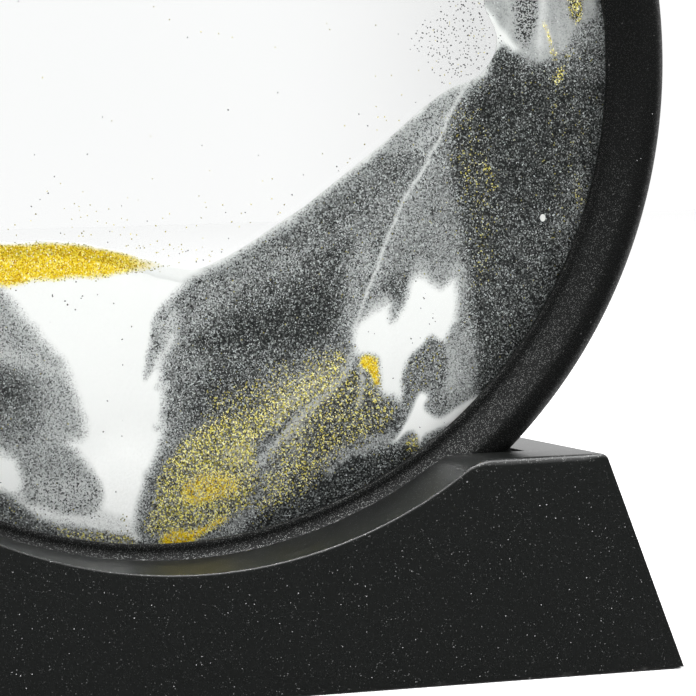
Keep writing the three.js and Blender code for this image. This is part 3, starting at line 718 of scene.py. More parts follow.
grain_tone = worked(
    sand_grains,
    grain_side,
    ("MULTIPLY", grain_swing),
    ("ADD", sand_tone),
    ("MAXIMUM", DARKEST_GRAIN),
    ("POWER", SCREEN_POWER),
    ("MULTIPLY", span(sand_grains, is_pepper, 0.0, 1.0, 1.0, PEPPER_TONE)),
    ("MAXIMUM", math_node(sand_grains, "MULTIPLY", is_glint, GLINT_TONE)),
)
grain_tint = mix_colours(sand_grains, sand_tone, DARK_TINT, WHITE_TINT)
grey_grain = vector_node(sand_grains, "SCALE", grain_tint, grain_tone)
veil_share = math_node(sand_grains, "MULTIPLY", span(sand_grains, gold_share, *VEIL_SHARES), sand_tone)
veiled_grain = mix_colours(sand_grains, veil_share, grey_grain, GOLD_VEIL, blend_type="MULTIPLY")

# Single gold grains among black ones look dull, a crowd of them bright
lemon_shine = span(sand_grains, gold_share, *LEMON_SHARES, *LEMON_SHINE)
lemon_grain = colour_steps(sand_grains, grain_dice[1], LEMON_GRAINS)
lemon_grain = vector_node(sand_grains, "SCALE", lemon_grain, lemon_shine)
deep_grain = colour_steps(sand_grains, grain_dice[1], DEEP_GRAINS)
gold_grain = mix_colours(sand_grains, span(sand_grains, gold_share, *DEEP_SHARES), lemon_grain, deep_grain)

# The panes press the grains flat, so that each faces the nearer pane
grain_lean = vector_node(sand_grains, "SUBTRACT", grain_cells["Color"], (0.5, 0.5, 0.5))
lean_share = worked(sand_grains, is_gold, ("MULTIPLY", GOLD_TILT), ("ADD", grains_in["Tilt"]))
grain_lean = vector_node(sand_grains, "SCALE", grain_lean, lean_share)
grain_depth = add_node(sand_grains, "ShaderNodeSeparateXYZ", {0: grain_place}).outputs[1]
pane_side = math_node(sand_grains, "SIGN", grain_depth)
grain_face = outlet(sand_grains, "ShaderNodeCombineXYZ", {"Y": pane_side})
grain_face = vector_node(sand_grains, "ADD", grain_face, grain_lean)
end_effect(
    sand_grains,
    grains_out,
    {
        "Colour": mix_colours(sand_grains, is_gold, veiled_grain, gold_grain),
        "Metal": math_node(sand_grains, "MULTIPLY", is_gold, GOLD_METAL),
        "Roughness": span(sand_grains, is_gold, 0.0, 1.0, SAND_ROUGHNESS, GOLD_ROUGHNESS),
        "Normal": vector_node(sand_grains, "NORMALIZE", grain_face),
    },
)


def sand_finish(name):
    """Sand whose grains follow the piece's own tone, share of gold and speckle."""
    finish, tree, shader = new_finish(name)
    shares = {
        title: add_node(tree, "ShaderNodeAttribute", attribute_name=title.lower()).outputs["Fac"]
        for title in ("Tone", "Gold", "Pepper", "Speckle")
    }
    use_effect(tree, shader, sand_grains, {**shares, "Grain": GRAIN, "Tilt": GRAIN_TILT})
    shader.inputs["Specular IOR Level"].default_value = SAND_SPECULAR
    return finish


def new_piece(name, points, faces, finish):
    mesh = bpy.data.meshes.new(name)
    mesh.from_pydata([tuple(p) for p in points], [], [tuple(f) for f in faces])
    mesh.materials.append(finish)
    piece = bpy.data.objects.new(name, mesh)
    bpy.context.scene.collection.objects.link(piece)
    return piece


def set_shares(mesh, name, values):
    mesh.attributes.new(name, "FLOAT", "POINT").data.foreach_set("value", values.astype(np.float32))


def sand_layer(name, chosen, finish, stands_for):
    """One closed layer of sand: the chosen cells in front and behind, with walls round them."""
    used, cells = np.unique(grid_cells[chosen], return_inverse=True)
    cells = cells.reshape(-1, 4)
    count = len(used)
    edges = np.stack([cells, np.roll(cells, -1, axis=1)], axis=2).reshape(-1, 2)
    key = edges.min(axis=1) * count + edges.max(axis=1)
    _, first, times = np.unique(key, return_index=True, return_counts=True)
    rim = edges[first[times == 1]]
    walls = np.stack([rim[:, 1], rim[:, 0], rim[:, 0] + count, rim[:, 1] + count], axis=1)
    x = disc_middle.x + grid_x[used] * MM
    z = disc_middle.z + grid_z[used] * MM
    front = np.stack([x, -grid_depth[used], z], axis=1)
    back = front * (1, -1, 1)
    faces = np.vstack([cells, cells[:, ::-1] + count, walls])
    piece = new_piece(name, np.vstack([front, back]), faces, finish)
    for mark, values in grid_marks.items():
        set_shares(piece.data, mark, np.tile(values[used], 2))
    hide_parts(stands_for)
    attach(piece, "disc")


black_sand = sand_finish("black_sand")
white_sand = sand_finish("white_sand")
gold_sand = sand_finish("gold_sand")
sand_layer("left_dune", in_left, black_sand, "black_sand_left")
sand_layer("right_dune", in_right & ~in_pocket, black_sand, "black_sand_right")
sand_layer("white_valley", in_white, white_sand, "white_sand")
sand_layer("white_pocket", in_pocket, white_sand, "white_sand_pocket")
sand_layer("gold_layer", in_gold, gold_sand, "gold_sand")


# Loose grains
# Single grains of black and gold sand hang in the liquid or cling to the panes above the dunes.
# They are thickest beside the cloud at the right and thin out with the distance from the sand.
LOOSE_RADIUS = 0.14 * MM
LOOSE_SMALLEST = (0.55, 0.55, 0.55)
LOOSE_LARGEST = (1.25, 1.0, 1.25)
LOOSE_TURN = (6.28, 6.28, 6.28)
LOOSE_DEPTH_SEED = 5
LOOSE_TURN_SEED = 6
LOOSE_SIZE_SEED = 7
LOOSE_BLACK_SEED = 4
LOOSE_GOLD_SEED = 9
LOOSE_CELL = 1.2
LOOSE_SPAN_X = (-76, 77)
LOOSE_SPAN_Z = (-38, 77)
LOOSE_HALF_DEPTH = 2.0 * MM
LOOSE_OVER_SAND = 0.4
LOOSE_FROM_WALL = 1.5
LOOSE_ROUGHNESS = 0.6
LOOSE_TONE_SCALE = 900.0
LOOSE_BLACK = ((0.01, 0.01, 0.01, 1), (0.14, 0.145, 0.145, 1))
LOOSE_GOLD = ((0.26, 0.23, 0.05, 1), (0.80, 0.72, 0.28, 1))

# Grains to the square millimetre beside the cloud, over the gap between the dunes, over the right
# slope, over the gold layer and anywhere else
BLACK_CROWD = (2.2, 0.25, 0.10, 0.08, 0.007)
GOLD_CROWD = (0.08, 1.30, 0.25, 0.25, 0.005)
CROWD_FADE = 3.5
GAP_HALF_WIDTH = 13
SLOPE_FROM, SLOPE_SOFTNESS = 8, 6
GOLD_UP_TO, GOLD_SOFTNESS = -12, 8
SWARM_SOFTNESS = 1.6
SWARM = [
    (47.3, 5.5), (51, 7.4), (54, 12), (59, 12), (60, 3.5), (59, -2.4), (54.7, -4), (50.9, -3), (49.8, 0.8),
    (47.6, 1.7),
]


def new_layout(name, inputs):
    """Starts a Geometry Nodes tree with a mesh in, a mesh out and named inputs."""
    layout = bpy.data.node_groups.new(name, "GeometryNodeTree")
    kinds = {float: "NodeSocketFloat", int: "NodeSocketInt", bpy.types.Material: "NodeSocketMaterial"}
    layout.interface.new_socket(name="Geometry", in_out="INPUT", socket_type="NodeSocketGeometry")
    for title, kind in inputs.items():
        layout.interface.new_socket(name=title, in_out="INPUT", socket_type=kinds[kind])
    layout.interface.new_socket(name="Geometry", in_out="OUTPUT", socket_type="NodeSocketGeometry")
    return layout, layout.nodes.new("NodeGroupInput").outputs, layout.nodes.new("NodeGroupOutput").inputs


def end_layout(layout, geometry, finish, smooth, out):
    """Ends a tree: real faces, shading and the finish."""
    real = outlet(layout, "GeometryNodeRealizeInstances", {0: geometry})
    shading = {"Geometry": real, "Shade Smooth": smooth}
    shaded = outlet(layout, "GeometryNodeSetShadeSmooth", shading)
    finished = outlet(layout, "GeometryNodeSetMaterial", {"Geometry": shaded, "Material": finish})
    layout.links.new(finished, out["Geometry"])


def run_layout(piece, layout, values):
    """Runs a tree on a piece and keeps what it makes as the piece's plain mesh."""
    modifier = piece.modifiers.new(layout.name, "NODES")
    modifier.node_group = layout
    for item in layout.interface.items_tree:
        if item.in_out == "INPUT" and item.name in values:
            modifier[item.identifier] = values[item.name]
    made = bpy.data.meshes.new_from_object(piece.evaluated_get(bpy.context.evaluated_depsgraph_get()))
    piece.modifiers.clear()
    piece.data = made


scatter, scatter_in, scatter_out = new_layout(
    "scattered_grains",
    {"Radius": float, "Half Depth": float, "Density": float, "Seed": int, "Finish": bpy.types.Material},
)
crowd = outlet(scatter, "GeometryNodeInputNamedAttribute", {"Name": "crowd"}, data_type="FLOAT")
spots = outlet(
    scatter,
    "GeometryNodeDistributePointsOnFaces",
    {
        "Mesh": scatter_in["Geometry"],
        "Density": math_node(scatter, "MULTIPLY", crowd, scatter_in["Density"]),
        "Seed": scatter_in["Seed"],
    },
)
rearmost = scatter_in["Half Depth"]
foremost = math_node(scatter, "MULTIPLY", rearmost, -1.0)
deep = add_node(
    scatter,
    "FunctionNodeRandomValue",
    {2: foremost, 3: rearmost, "Seed": LOOSE_DEPTH_SEED},
    data_type="FLOAT",
).outputs[1]
spots = outlet(
    scatter,
    "GeometryNodeSetPosition",
    {"Geometry": spots, "Offset": outlet(scatter, "ShaderNodeCombineXYZ", {"Y": deep})},
)
turn = outlet(
    scatter,
    "FunctionNodeRandomValue",
    {0: (0, 0, 0), 1: LOOSE_TURN, "Seed": LOOSE_TURN_SEED},
    data_type="FLOAT_VECTOR",
)
growth = outlet(
    scatter,
    "FunctionNodeRandomValue",
    {0: LOOSE_SMALLEST, 1: LOOSE_LARGEST, "Seed": LOOSE_SIZE_SEED},
    data_type="FLOAT_VECTOR",
)
kernel = outlet(scatter, "GeometryNodeMeshIcoSphere", {"Radius": scatter_in["Radius"], "Subdivisions": 1})
grains = outlet(
    scatter,
    "GeometryNodeInstanceOnPoints",
    {"Points": spots, "Instance": kernel, "Rotation": turn, "Scale": growth},
)
end_layout(scatter, grains, scatter_in["Finish"], False, scatter_out)

clear_x, clear_z = np.meshgrid(
    np.arange(*LOOSE_SPAN_X, LOOSE_CELL), np.arange(*LOOSE_SPAN_Z, LOOSE_CELL), indexing="ij"
)
clear_cells = grid_faces(clear_x.shape[0] - 1, clear_x.shape[1] - 1)
clear_x, clear_z = clear_x.ravel(), clear_z.ravel()
over_sand = clear_z - height_on(SAND_TOP, 2 * clear_x - lean_over(clear_x, clear_z))
in_cell = (over_sand > LOOSE_OVER_SAND) & (np.hypot(clear_x, clear_z) < FILL_RADIUS - LOOSE_FROM_WALL)
clear_cells = clear_cells[in_cell[clear_cells].all(axis=1)]
near_sand = np.exp(-np.clip(over_sand, 0, None) / CROWD_FADE)
crowd_places = (
    patch(SWARM, SWARM_SOFTNESS, clear_x, clear_z),
    near_sand * np.exp(-((clear_x / GAP_HALF_WIDTH) ** 2)),
    near_sand * cover(SLOPE_FROM - clear_x, SLOPE_SOFTNESS),
    near_sand * cover(clear_x - GOLD_UP_TO, GOLD_SOFTNESS),
    np.ones(clear_x.shape),
)


def loose_grains(name, crowd_shares, colours, seed):
    finish, tree, shader = new_finish(name)
    dots = {"Vector": own_place(tree), "Scale": LOOSE_TONE_SCALE}
    dice = add_node(tree, "ShaderNodeTexVoronoi", dots).outputs["Color"]
    dice = outlet(tree, "ShaderNodeSeparateColor", {0: dice})
    feed(tree, shader, {"Base Color": mix_colours(tree, dice, *colours)})
    shader.inputs["Roughness"].default_value = LOOSE_ROUGHNESS
    x = disc_middle.x + clear_x * MM
    z = disc_middle.z + clear_z * MM
    piece = new_piece(name, np.stack([x, np.zeros(x.shape), z], axis=1), clear_cells, finish)
    set_shares(piece.data, "crowd", sum(share * place for share, place in zip(crowd_shares, crowd_places)))
    sizes = {"Radius": LOOSE_RADIUS, "Half Depth": LOOSE_HALF_DEPTH, "Density": 1 / MM**2}
    run_layout(piece, scatter, {**sizes, "Seed": seed, "Finish": finish})
    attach(piece, "disc")


loose_grains("loose_black_grains", BLACK_CROWD, LOOSE_BLACK, LOOSE_BLACK_SEED)
loose_grains("loose_gold_grains", GOLD_CROWD, LOOSE_GOLD, LOOSE_GOLD_SEED)


# Air bubble
# One small bubble of air is caught between the sand and the front pane at the right.
# It is pressed flat by the glass, and its white shine is a painted reflection in its colour.
BUBBLE_PLACE = (68.0, -27.4)
BUBBLE_RADIUS = 0.58
BUBBLE_DEPTH = 0.22
BUBBLE_WIDTH = 0.9
BUBBLE_HEIGHT = 1.1
BUBBLE_STEPS = 24
# Painted reflection: the bubble's shine is its colour, mottled between a dim and a bright white
BUBBLE_REFLECTION_DIM = (0.62, 0.64, 0.62, 1)
BUBBLE_REFLECTION_BRIGHT = (0.92, 0.93, 0.91, 1)
BUBBLE_CLOUD_SCALE = 1500.0
BUBBLE_ROUGHNESS = 0.15

bubble_painted_reflection, bubble_tree, bubble_shader = new_finish("bubble_painted_reflection")
bubble_reflection_cloud = cloud(bubble_tree, own_place(bubble_tree), BUBBLE_CLOUD_SCALE)
bubble_reflection_tone = mix_colours(bubble_tree, bubble_reflection_cloud, BUBBLE_REFLECTION_DIM, BUBBLE_REFLECTION_BRIGHT)
feed(bubble_tree, bubble_shader, {"Base Color": bubble_reflection_tone})
bubble_shader.inputs["Roughness"].default_value = BUBBLE_ROUGHNESS
bubble_x, bubble_z = BUBBLE_PLACE
bubble_middle = (disc_middle.x + bubble_x * MM, -SAND_HALF_DEPTH, disc_middle.z + bubble_z * MM)
bubble_squeeze = Matrix.Diagonal((BUBBLE_WIDTH, BUBBLE_DEPTH / BUBBLE_RADIUS, BUBBLE_HEIGHT, 1))
bubble = bmesh.new()
bmesh.ops.create_uvsphere(
    bubble, u_segments=BUBBLE_STEPS, v_segments=BUBBLE_STEPS // 2, radius=BUBBLE_RADIUS * MM
)
bmesh.ops.transform(bubble, matrix=Matrix.Translation(bubble_middle) @ bubble_squeeze, verts=bubble.verts)
bubble_piece = new_piece("air_bubble", [], [], bubble_painted_reflection)
bubble.to_mesh(bubble_piece.data)
bubble.free()
bubble_piece.data.shade_smooth()
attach(bubble_piece, "disc")


# Liquid
# Clear liquid fills the cell and soaks the sand, apart from a little air at the top.
# It keeps level while the disc turns, and shows only by the line of its surface.
LIQUID_TOP = 74.2
LIQUID_RADIUS = 80.1
LIQUID_PANE_GAP = 0.06 * MM
LIQUID_HALF_DEPTH = SAND_HALF_DEPTH - LIQUID_PANE_GAP
LIQUID_TINT = (0.985, 0.992, 0.99, 1)
LIQUID_CLEAR = (0.998, 1.0, 0.999, 1)
LIQUID_CLOUD_SCALE = 14.0
LIQUID_CLOUD_DETAIL = 3.0
LIQUID_STEPS = 240
HAZE_FROM = 15 * MM
HAZE_TO = 58 * MM
HAZE_BEND = 2.2
HAZE_DEPTH = 0.19

clear_liquid, liquid_tree, _ = new_finish("clear_liquid")
liquid_place = own_place(liquid_tree)
liquid_cloud = cloud(liquid_tree, liquid_place, LIQUID_CLOUD_SCALE, LIQUID_CLOUD_DETAIL)
liquid_tint = mix_colours(liquid_tree, liquid_cloud, LIQUID_TINT, LIQUID_CLEAR)

# Fine dust along the rear pane makes it duller towards the cloud of sand
haze_parts = add_node(liquid_tree, "ShaderNodeSeparateXYZ", {0: liquid_place}).outputs
haze_share = span(liquid_tree, haze_parts[0], HAZE_FROM, HAZE_TO)
at_rear = math_node(liquid_tree, "GREATER_THAN", haze_parts[1], 0.0)
haze_share = worked(
    liquid_tree, haze_share, ("POWER", HAZE_BEND), ("MULTIPLY", HAZE_DEPTH), ("MULTIPLY", at_rear)
)
liquid_tint = vector_node(liquid_tree, "SCALE", liquid_tint, rest_of(liquid_tree, haze_share))
liquid_clear = outlet(liquid_tree, "ShaderNodeBsdfTransparent", {"Color": liquid_tint})
liquid_tree.links.new(liquid_clear, liquid_tree.nodes["Material Output"].inputs["Surface"])

liquid_level = math.asin(LIQUID_TOP / LIQUID_RADIUS)
liquid_count = LIQUID_STEPS + 1
liquid_turn = np.linspace(math.pi - liquid_level, 2 * math.pi + liquid_level, liquid_count)
liquid_front = np.stack(
    [
        disc_middle.x + LIQUID_RADIUS * MM * np.cos(liquid_turn),
        np.full(liquid_count, -LIQUID_HALF_DEPTH),
        disc_middle.z + LIQUID_RADIUS * MM * np.sin(liquid_turn),
    ],
    axis=1,
)
turn_round = np.arange(liquid_count)
after = (turn_round + 1) % liquid_count
liquid_walls = np.stack([after, turn_round, turn_round + liquid_count, after + liquid_count], axis=1)
liquid_piece = new_piece(
    "clear_liquid",
    np.vstack([liquid_front, liquid_front * (1, -1, 1)]),
    [turn_round, turn_round[::-1] + liquid_count, *liquid_walls],
    clear_liquid,
)
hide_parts("liquid_fill")
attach(liquid_piece, "liquid")


# Ring
# Two half rings moulded in black plastic with a fine glitter snap together round the panes.
# Each has a full bead, a narrow lip over the glass and half a parting groove on the middle plane.
RING_RADIUS = 90.0
RING_VIEW_RADIUS = 79.0
RING_HALF_DEPTH = 8.8
RING_LIP_WIDTH = 0.9
RING_LIP_BACK = 4.8
RING_LIP_FRONT = 5.8
RING_LIP_EDGE = 0.1
RING_REBATE = 83.3
RING_PARTING = 0.15
RING_GROOVE = 0.5
RING_TOUCH = 0.005
RING_FULLNESS = 2.4
RING_BEAD_STEPS = 18
RING_SEGMENTS = 288
RING_SEAM = 0.002 * MM
RING_SHARP = math.radians(50)
RING_SPECULAR = 0.25
RING_WORN = (RING_RADIUS - 1, RING_RADIUS + 6)
RING_GLITTER = {
    "Plastic": (0.0032, 0.0036, 0.0034, 1),
    "Flake": (0.23, 0.235, 0.23, 1),
    "Flake Cell": 0.14 * MM,
    "Flake Share": 0.3,
    "Flake Tilt": 0.36,
    "Speck Share": 0.004,
    "Matt": 0.5,
}
PLASTIC_SCUFF = (0.04, 0.04, 0.038, 1)
GLITTER_SKEW = (0.61, 0.35, 0.87)
FLAKE_REACH = 0.42
FLAKE_ROUGHNESS = 0.3
MOULD_SCALE = 3200.0
MOULD_STRENGTH = 0.25
MOULD_HEIGHT = 0.02 * MM
SPECK_BEND = 4.0
SPECK_BRIGHT = 0.6
SPECK_DIM = 0.03
RUB_SCALE = 60.0
RUB_DETAIL = 4.0
RUB_MATT = 0.08
SCUFF_SCALE = 420.0
SCUFF_DETAIL = 3.0
SCUFF_SHARES = (0.58, 0.72)

moulded_glitter, glitter_in, glitter_out = new_effect(
    "moulded_glitter",
    {**RING_GLITTER, "Scuff Colour": PLASTIC_SCUFF, "Scuff": 0.0},
    ("Colour", "Metal", "Roughness", "Normal"),
)
glitter_place = outlet(
    moulded_glitter, "ShaderNodeMapping", {"Vector": own_place(moulded_glitter), "Rotation": GLITTER_SKEW}
)
flake_cells, flake_dice = diced_cells(moulded_glitter, glitter_place, glitter_in["Flake Cell"])
is_round = math_node(moulded_glitter, "LESS_THAN", flake_cells["Distance"], FLAKE_REACH)
is_flake = math_node(moulded_glitter, "LESS_THAN", flake_dice[0], glitter_in["Flake Share"])
flake_here = math_node(moulded_glitter, "MULTIPLY", is_flake, is_round)
mould_texture = cloud(moulded_glitter, glitter_place, MOULD_SCALE)
mould_bump = bump(moulded_glitter, mould_texture, MOULD_STRENGTH, MOULD_HEIGHT)
flake_turn = add_node(
    moulded_glitter, "ShaderNodeTexWhiteNoise", {"Vector": flake_cells["Color"]}, noise_dimensions="3D"
).outputs["Color"]
flake_lean = vector_node(moulded_glitter, "SUBTRACT", flake_turn, (0.5, 0.5, 0.5))
lean_share = math_node(moulded_glitter, "MULTIPLY", flake_here, glitter_in["Flake Tilt"])
flake_lean = vector_node(moulded_glitter, "SCALE", flake_lean, lean_share)
flake_face = vector_node(moulded_glitter, "ADD", mould_bump, flake_lean)

# A few flakes lie open on the surface and show as pale specks from every side
is_open = math_node(moulded_glitter, "LESS_THAN", flake_dice[1], glitter_in["Speck Share"])
speck_here = math_node(moulded_glitter, "MULTIPLY", is_open, is_round)
speck_tone = worked(
    moulded_glitter, flake_dice[2], ("POWER", SPECK_BEND), ("MULTIPLY", SPECK_BRIGHT), ("ADD", SPECK_DIM)
)

# Handling has rubbed the surface in clouds, and scuffs take the glitter off where it is worn
rub_cloud = cloud(moulded_glitter, glitter_place, RUB_SCALE, RUB_DETAIL)
rub_matt = worked(moulded_glitter, rub_cloud, ("MULTIPLY", RUB_MATT), ("ADD", glitter_in["Matt"]))
scuff_cloud = cloud(moulded_glitter, glitter_place, SCUFF_SCALE, SCUFF_DETAIL)
scuff_here = span(moulded_glitter, scuff_cloud, *SCUFF_SHARES)
scuff_here = math_node(moulded_glitter, "MULTIPLY", scuff_here, glitter_in["Scuff"])
unspecked, unscuffed = rest_of(moulded_glitter, speck_here), rest_of(moulded_glitter, scuff_here)
plastic_colour = mix_colours(moulded_glitter, flake_here, glitter_in["Plastic"], glitter_in["Flake"])
plastic_colour = mix_colours(moulded_glitter, speck_here, plastic_colour, speck_tone)
end_effect(
    moulded_glitter,
    glitter_out,
    {
        "Colour": mix_colours(moulded_glitter, scuff_here, plastic_colour, glitter_in["Scuff Colour"]),
        "Metal": worked(moulded_glitter, flake_here, ("MULTIPLY", unspecked), ("MULTIPLY", unscuffed)),
        "Roughness": span(moulded_glitter, flake_here, 0.0, 1.0, rub_matt, FLAKE_ROUGHNESS),
        "Normal": vector_node(moulded_glitter, "NORMALIZE", flake_face),
    },
)


def glitter_plastic(name, values, worn, height, specular):
    """Glittering plastic, scuffed more and more between two levels in millimetres over a height."""
    finish, tree, shader = new_finish(name)
    above = add_node(tree, "ShaderNodeSeparateXYZ", {0: own_place(tree)}).outputs[2]
    above = math_node(tree, "SUBTRACT", above, height)
    scuffed = span(tree, above, worn[0] * MM, worn[1] * MM)
    use_effect(tree, shader, moulded_glitter, {**values, "Scuff": scuffed})
    shader.inputs["Specular IOR Level"].default_value = specular
    return finish


def bead_section():
    """Half of the ring's section as pairs of radius and distance from the middle plane."""
    bead_inner = RING_VIEW_RADIUS + RING_LIP_WIDTH
    crest = (bead_inner + RING_RADIUS) / 2
    half_width = (RING_RADIUS - bead_inner) / 2
    bend = 2 / RING_FULLNESS
    shares = [n / RING_BEAD_STEPS for n in range(RING_BEAD_STEPS + 1)]
    inner = [
        (
            bead_inner + half_width * share,
            RING_LIP_FRONT + (RING_HALF_DEPTH - RING_LIP_FRONT) * share * share * (3 - 2 * share),
        )
        for share in shares
    ]
    outer = [
        (
            crest + half_width * abs(math.sin(math.pi / 2 * share)) ** bend,
            RING_PARTING + (RING_HALF_DEPTH - RING_PARTING) * abs(math.cos(math.pi / 2 * share)) ** bend,
        )
        for share in shares[1:]
    ]
    lip = [
        (RING_VIEW_RADIUS, RING_LIP_BACK),
        (RING_VIEW_RADIUS, RING_LIP_FRONT - RING_LIP_EDGE),
        (RING_VIEW_RADIUS + RING_LIP_EDGE, RING_LIP_FRONT),
    ]
    groove = [(RING_RADIUS - RING_GROOVE, RING_PARTING), (RING_RADIUS - RING_GROOVE, RING_TOUCH)]
    return lip + inner + outer + groove + [(RING_REBATE, RING_TOUCH), (RING_REBATE, RING_LIP_BACK)]


revolve, revolve_in, revolve_out = new_layout(
    "revolved_ring",
    {"Section Points": int, "Segments": int, "Height": float, "Finish": bpy.types.Material},
)
sheet_rows = math_node(revolve, "ADD", revolve_in["Section Points"], 1.0)
sheet_columns = math_node(revolve, "ADD", revolve_in["Segments"], 1.0)
sheet = outlet(revolve, "GeometryNodeMeshGrid", {"Vertices X": sheet_columns, "Vertices Y": sheet_rows})
sheet_index = outlet(revolve, "GeometryNodeInputIndex")
sheet_row = worked(revolve, sheet_index, ("MODULO", sheet_rows), ("MODULO", revolve_in["Section Points"]))
sheet_column = worked(revolve, sheet_index, ("DIVIDE", sheet_rows), ("FLOOR", 0.0))
section_point = outlet(
    revolve,
    "GeometryNodeSampleIndex",
    {
        "Geometry": revolve_in["Geometry"],
        "Value": outlet(revolve, "GeometryNodeInputPosition"),
        "Index": sheet_row,
    },
    data_type="FLOAT_VECTOR",
)
section_place = add_node(revolve, "ShaderNodeSeparateXYZ", {0: section_point}).outputs
turned_angle = worked(revolve, sheet_column, ("DIVIDE", revolve_in["Segments"]), ("MULTIPLY", 2 * math.pi))
turned_x = math_node(revolve, "MULTIPLY", section_place[0], math_node(revolve, "COSINE", turned_angle))
turned_z = math_node(revolve, "MULTIPLY", section_place[0], math_node(revolve, "SINE", turned_angle))
turned_z = math_node(revolve, "ADD", turned_z, revolve_in["Height"])
turned_place = outlet(
    revolve, "ShaderNodeCombineXYZ", {"X": turned_x, "Y": section_place[1], "Z": turned_z}
)
bent_sheet = outlet(revolve, "GeometryNodeSetPosition", {"Geometry": sheet, "Position": turned_place})
closed_ring = outlet(
    revolve, "GeometryNodeMergeByDistance", {"Geometry": bent_sheet, "Distance": RING_SEAM}
)
end_layout(revolve, closed_ring, revolve_in["Finish"], True, revolve_out)


def face_outwards(mesh):
    form = bmesh.new()
    form.from_mesh(mesh)
    bmesh.ops.recalc_face_normals(form, faces=form.faces)
    form.to_mesh(mesh)
    form.free()


ring_plastic = glitter_plastic("ring_plastic", RING_GLITTER, RING_WORN, disc_middle.z, RING_SPECULAR)
ring_section = bead_section()
ring_sizes = {"Section Points": len(ring_section), "Segments": RING_SEGMENTS, "Height": disc_middle.z}
for ring_name, side, ring_node in (("ring_front", -1, "front_ring"), ("ring_rear", 1, "rear_ring")):
    ring = new_piece(ring_name, [(r * MM, side * y * MM, 0) for r, y in ring_section], [], ring_plastic)
    run_layout(ring, revolve, {**ring_sizes, "Finish": ring_plastic})
    face_outwards(ring.data)
    ring.data.set_sharp_from_angle(angle=RING_SHARP)
    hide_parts(ring_node)
    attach(ring, "disc")


# Stand
# A hollow moulding in the same black plastic, with leaning sides, a cradle and two shoulders.
# The ring sits in a groove down the middle of the cradle; all outer edges are softly rounded.
STAND_HEIGHT = 36.7
STAND_RIM = 0.3
STAND_TOP_WIDTH = 142.6
STAND_BOTTOM_WIDTH = 168.0
STAND_TOP_DEPTH = 41.6
STAND_BOTTOM_DEPTH = 45.2
STAND_DISC_HEIGHT = 103.1
STAND_LEDGE_RADIUS = 81.3
STAND_LEDGE_FALL = 1.0
STAND_SHOULDER = 9.0
STAND_CORNER = 1.4
STAND_EDGE = 0.4
STAND_CORNER_EDGE = 0.8
STAND_SHOULDER_EDGE = 1.3
STAND_EDGE_STEPS = 10
STAND_CORNER_STEPS = 8
STAND_SHOULDER_STEPS = 16
STAND_CRADLE_STEPS = 48
STAND_EDGE_FLAT = 0.6
STAND_INNER = 0.5
STAND_SEAM = 0.001 * MM
STAND_SLIVER = 0.0005 * MM
STAND_SHARP = math.radians(40)
STAND_SPECULAR = 0.65
STAND_WORN = (0.9, STAND_RIM)
STAND_GLITTER = {
    "Plastic": (0.0060, 0.0067, 0.0063, 1),
    "Flake": (0.26, 0.265, 0.26, 1),
    "Flake Cell": 0.17 * MM,
    "Flake Share": 0.12,
    "Flake Tilt": 0.75,
    "Speck Share": 0.010,
    "Matt": 0.26,
}
GROOVE_RADIUS = 90.3
GROOVE_HALF_WIDTH = 9.1
GROOVE_EDGE = 0.35
GROOVE_EDGE_X = math.sqrt(GROOVE_RADIUS**2 - (STAND_DISC_HEIGHT - STAND_HEIGHT) ** 2)
STAND_FLAT = (68.7, 67.4, 64.6, GROOVE_EDGE_X)
POCKET_RIM = 2.4
POCKET_TOP = 3.4


def arc_points(x, z, radius, start, end, steps):
    angles = np.linspace(start, end, steps + 1)
    return np.stack([x + radius * np.cos(angles), z + radius * np.sin(angles)], axis=1)


def stand_half_depth(z):
    lean = (STAND_BOTTOM_DEPTH - STAND_TOP_DEPTH) / 2 / (STAND_HEIGHT - STAND_RIM)
    return STAND_TOP_DEPTH / 2 + lean * (STAND_HEIGHT - z)


def stand_outline(inset, cradle):
    """Outline of the stand from the right rim over the cradle to the left rim, drawn in by an inset."""
    slope = (STAND_BOTTOM_WIDTH - STAND_TOP_WIDTH) / 2 / (STAND_HEIGHT - STAND_RIM)

    def side_x(z, away):
        return STAND_TOP_WIDTH / 2 + slope * (STAND_HEIGHT - z) - away * math.hypot(1, slope)

    corner = max(STAND_CORNER - inset, STAND_INNER)
    corner_z = STAND_HEIGHT - inset - corner
    rounding_z = STAND_HEIGHT - STAND_SHOULDER
    drop = STAND_DISC_HEIGHT - rounding_z
    rounding_x = math.sqrt((cradle + STAND_SHOULDER) ** 2 - drop**2)
    lean = math.atan2(drop, rounding_x)
    up = math.pi / 2
    right = np.vstack(
        [
            [(side_x(STAND_RIM, inset), STAND_RIM)],
            arc_points(
                side_x(corner_z, inset + corner), corner_z, corner, math.atan(slope), up, STAND_CORNER_STEPS
            ),
            [(x, STAND_HEIGHT - inset) for x in STAND_FLAT],
            arc_points(
                rounding_x, rounding_z, STAND_SHOULDER - inset, up, math.pi - lean, STAND_SHOULDER_STEPS
            ),
            arc_points(0, STAND_DISC_HEIGHT, cradle + inset, -lean, -up, STAND_CRADLE_STEPS)[1:],
        ]
    )
    return np.vstack([right, right[-2::-1] * (-1, 1)])


def groove_outline(radius):
    """The same run of points, but cut straight down to the floor of the groove."""
    plain = stand_outline(0, STAND_LEDGE_RADIUS)
    middle = len(plain) // 2
    lean = math.atan2(STAND_DISC_HEIGHT - STAND_HEIGHT, GROOVE_EDGE_X)
    shoulder = 1 + STAND_CORNER_STEPS + len(STAND_FLAT)
    floor = arc_points(0, STAND_DISC_HEIGHT, radius, -lean, -math.pi / 2, middle - shoulder - 1)
    right = np.vstack([plain[: shoulder + 1], floor])
    return np.vstack([right, right[-2::-1] * (-1, 1)])


def at_depth(outline, depth):
    depth = np.broadcast_to(depth, (len(outline),))
    return np.stack([outline[:, 0], depth, outline[:, 1]], axis=1)


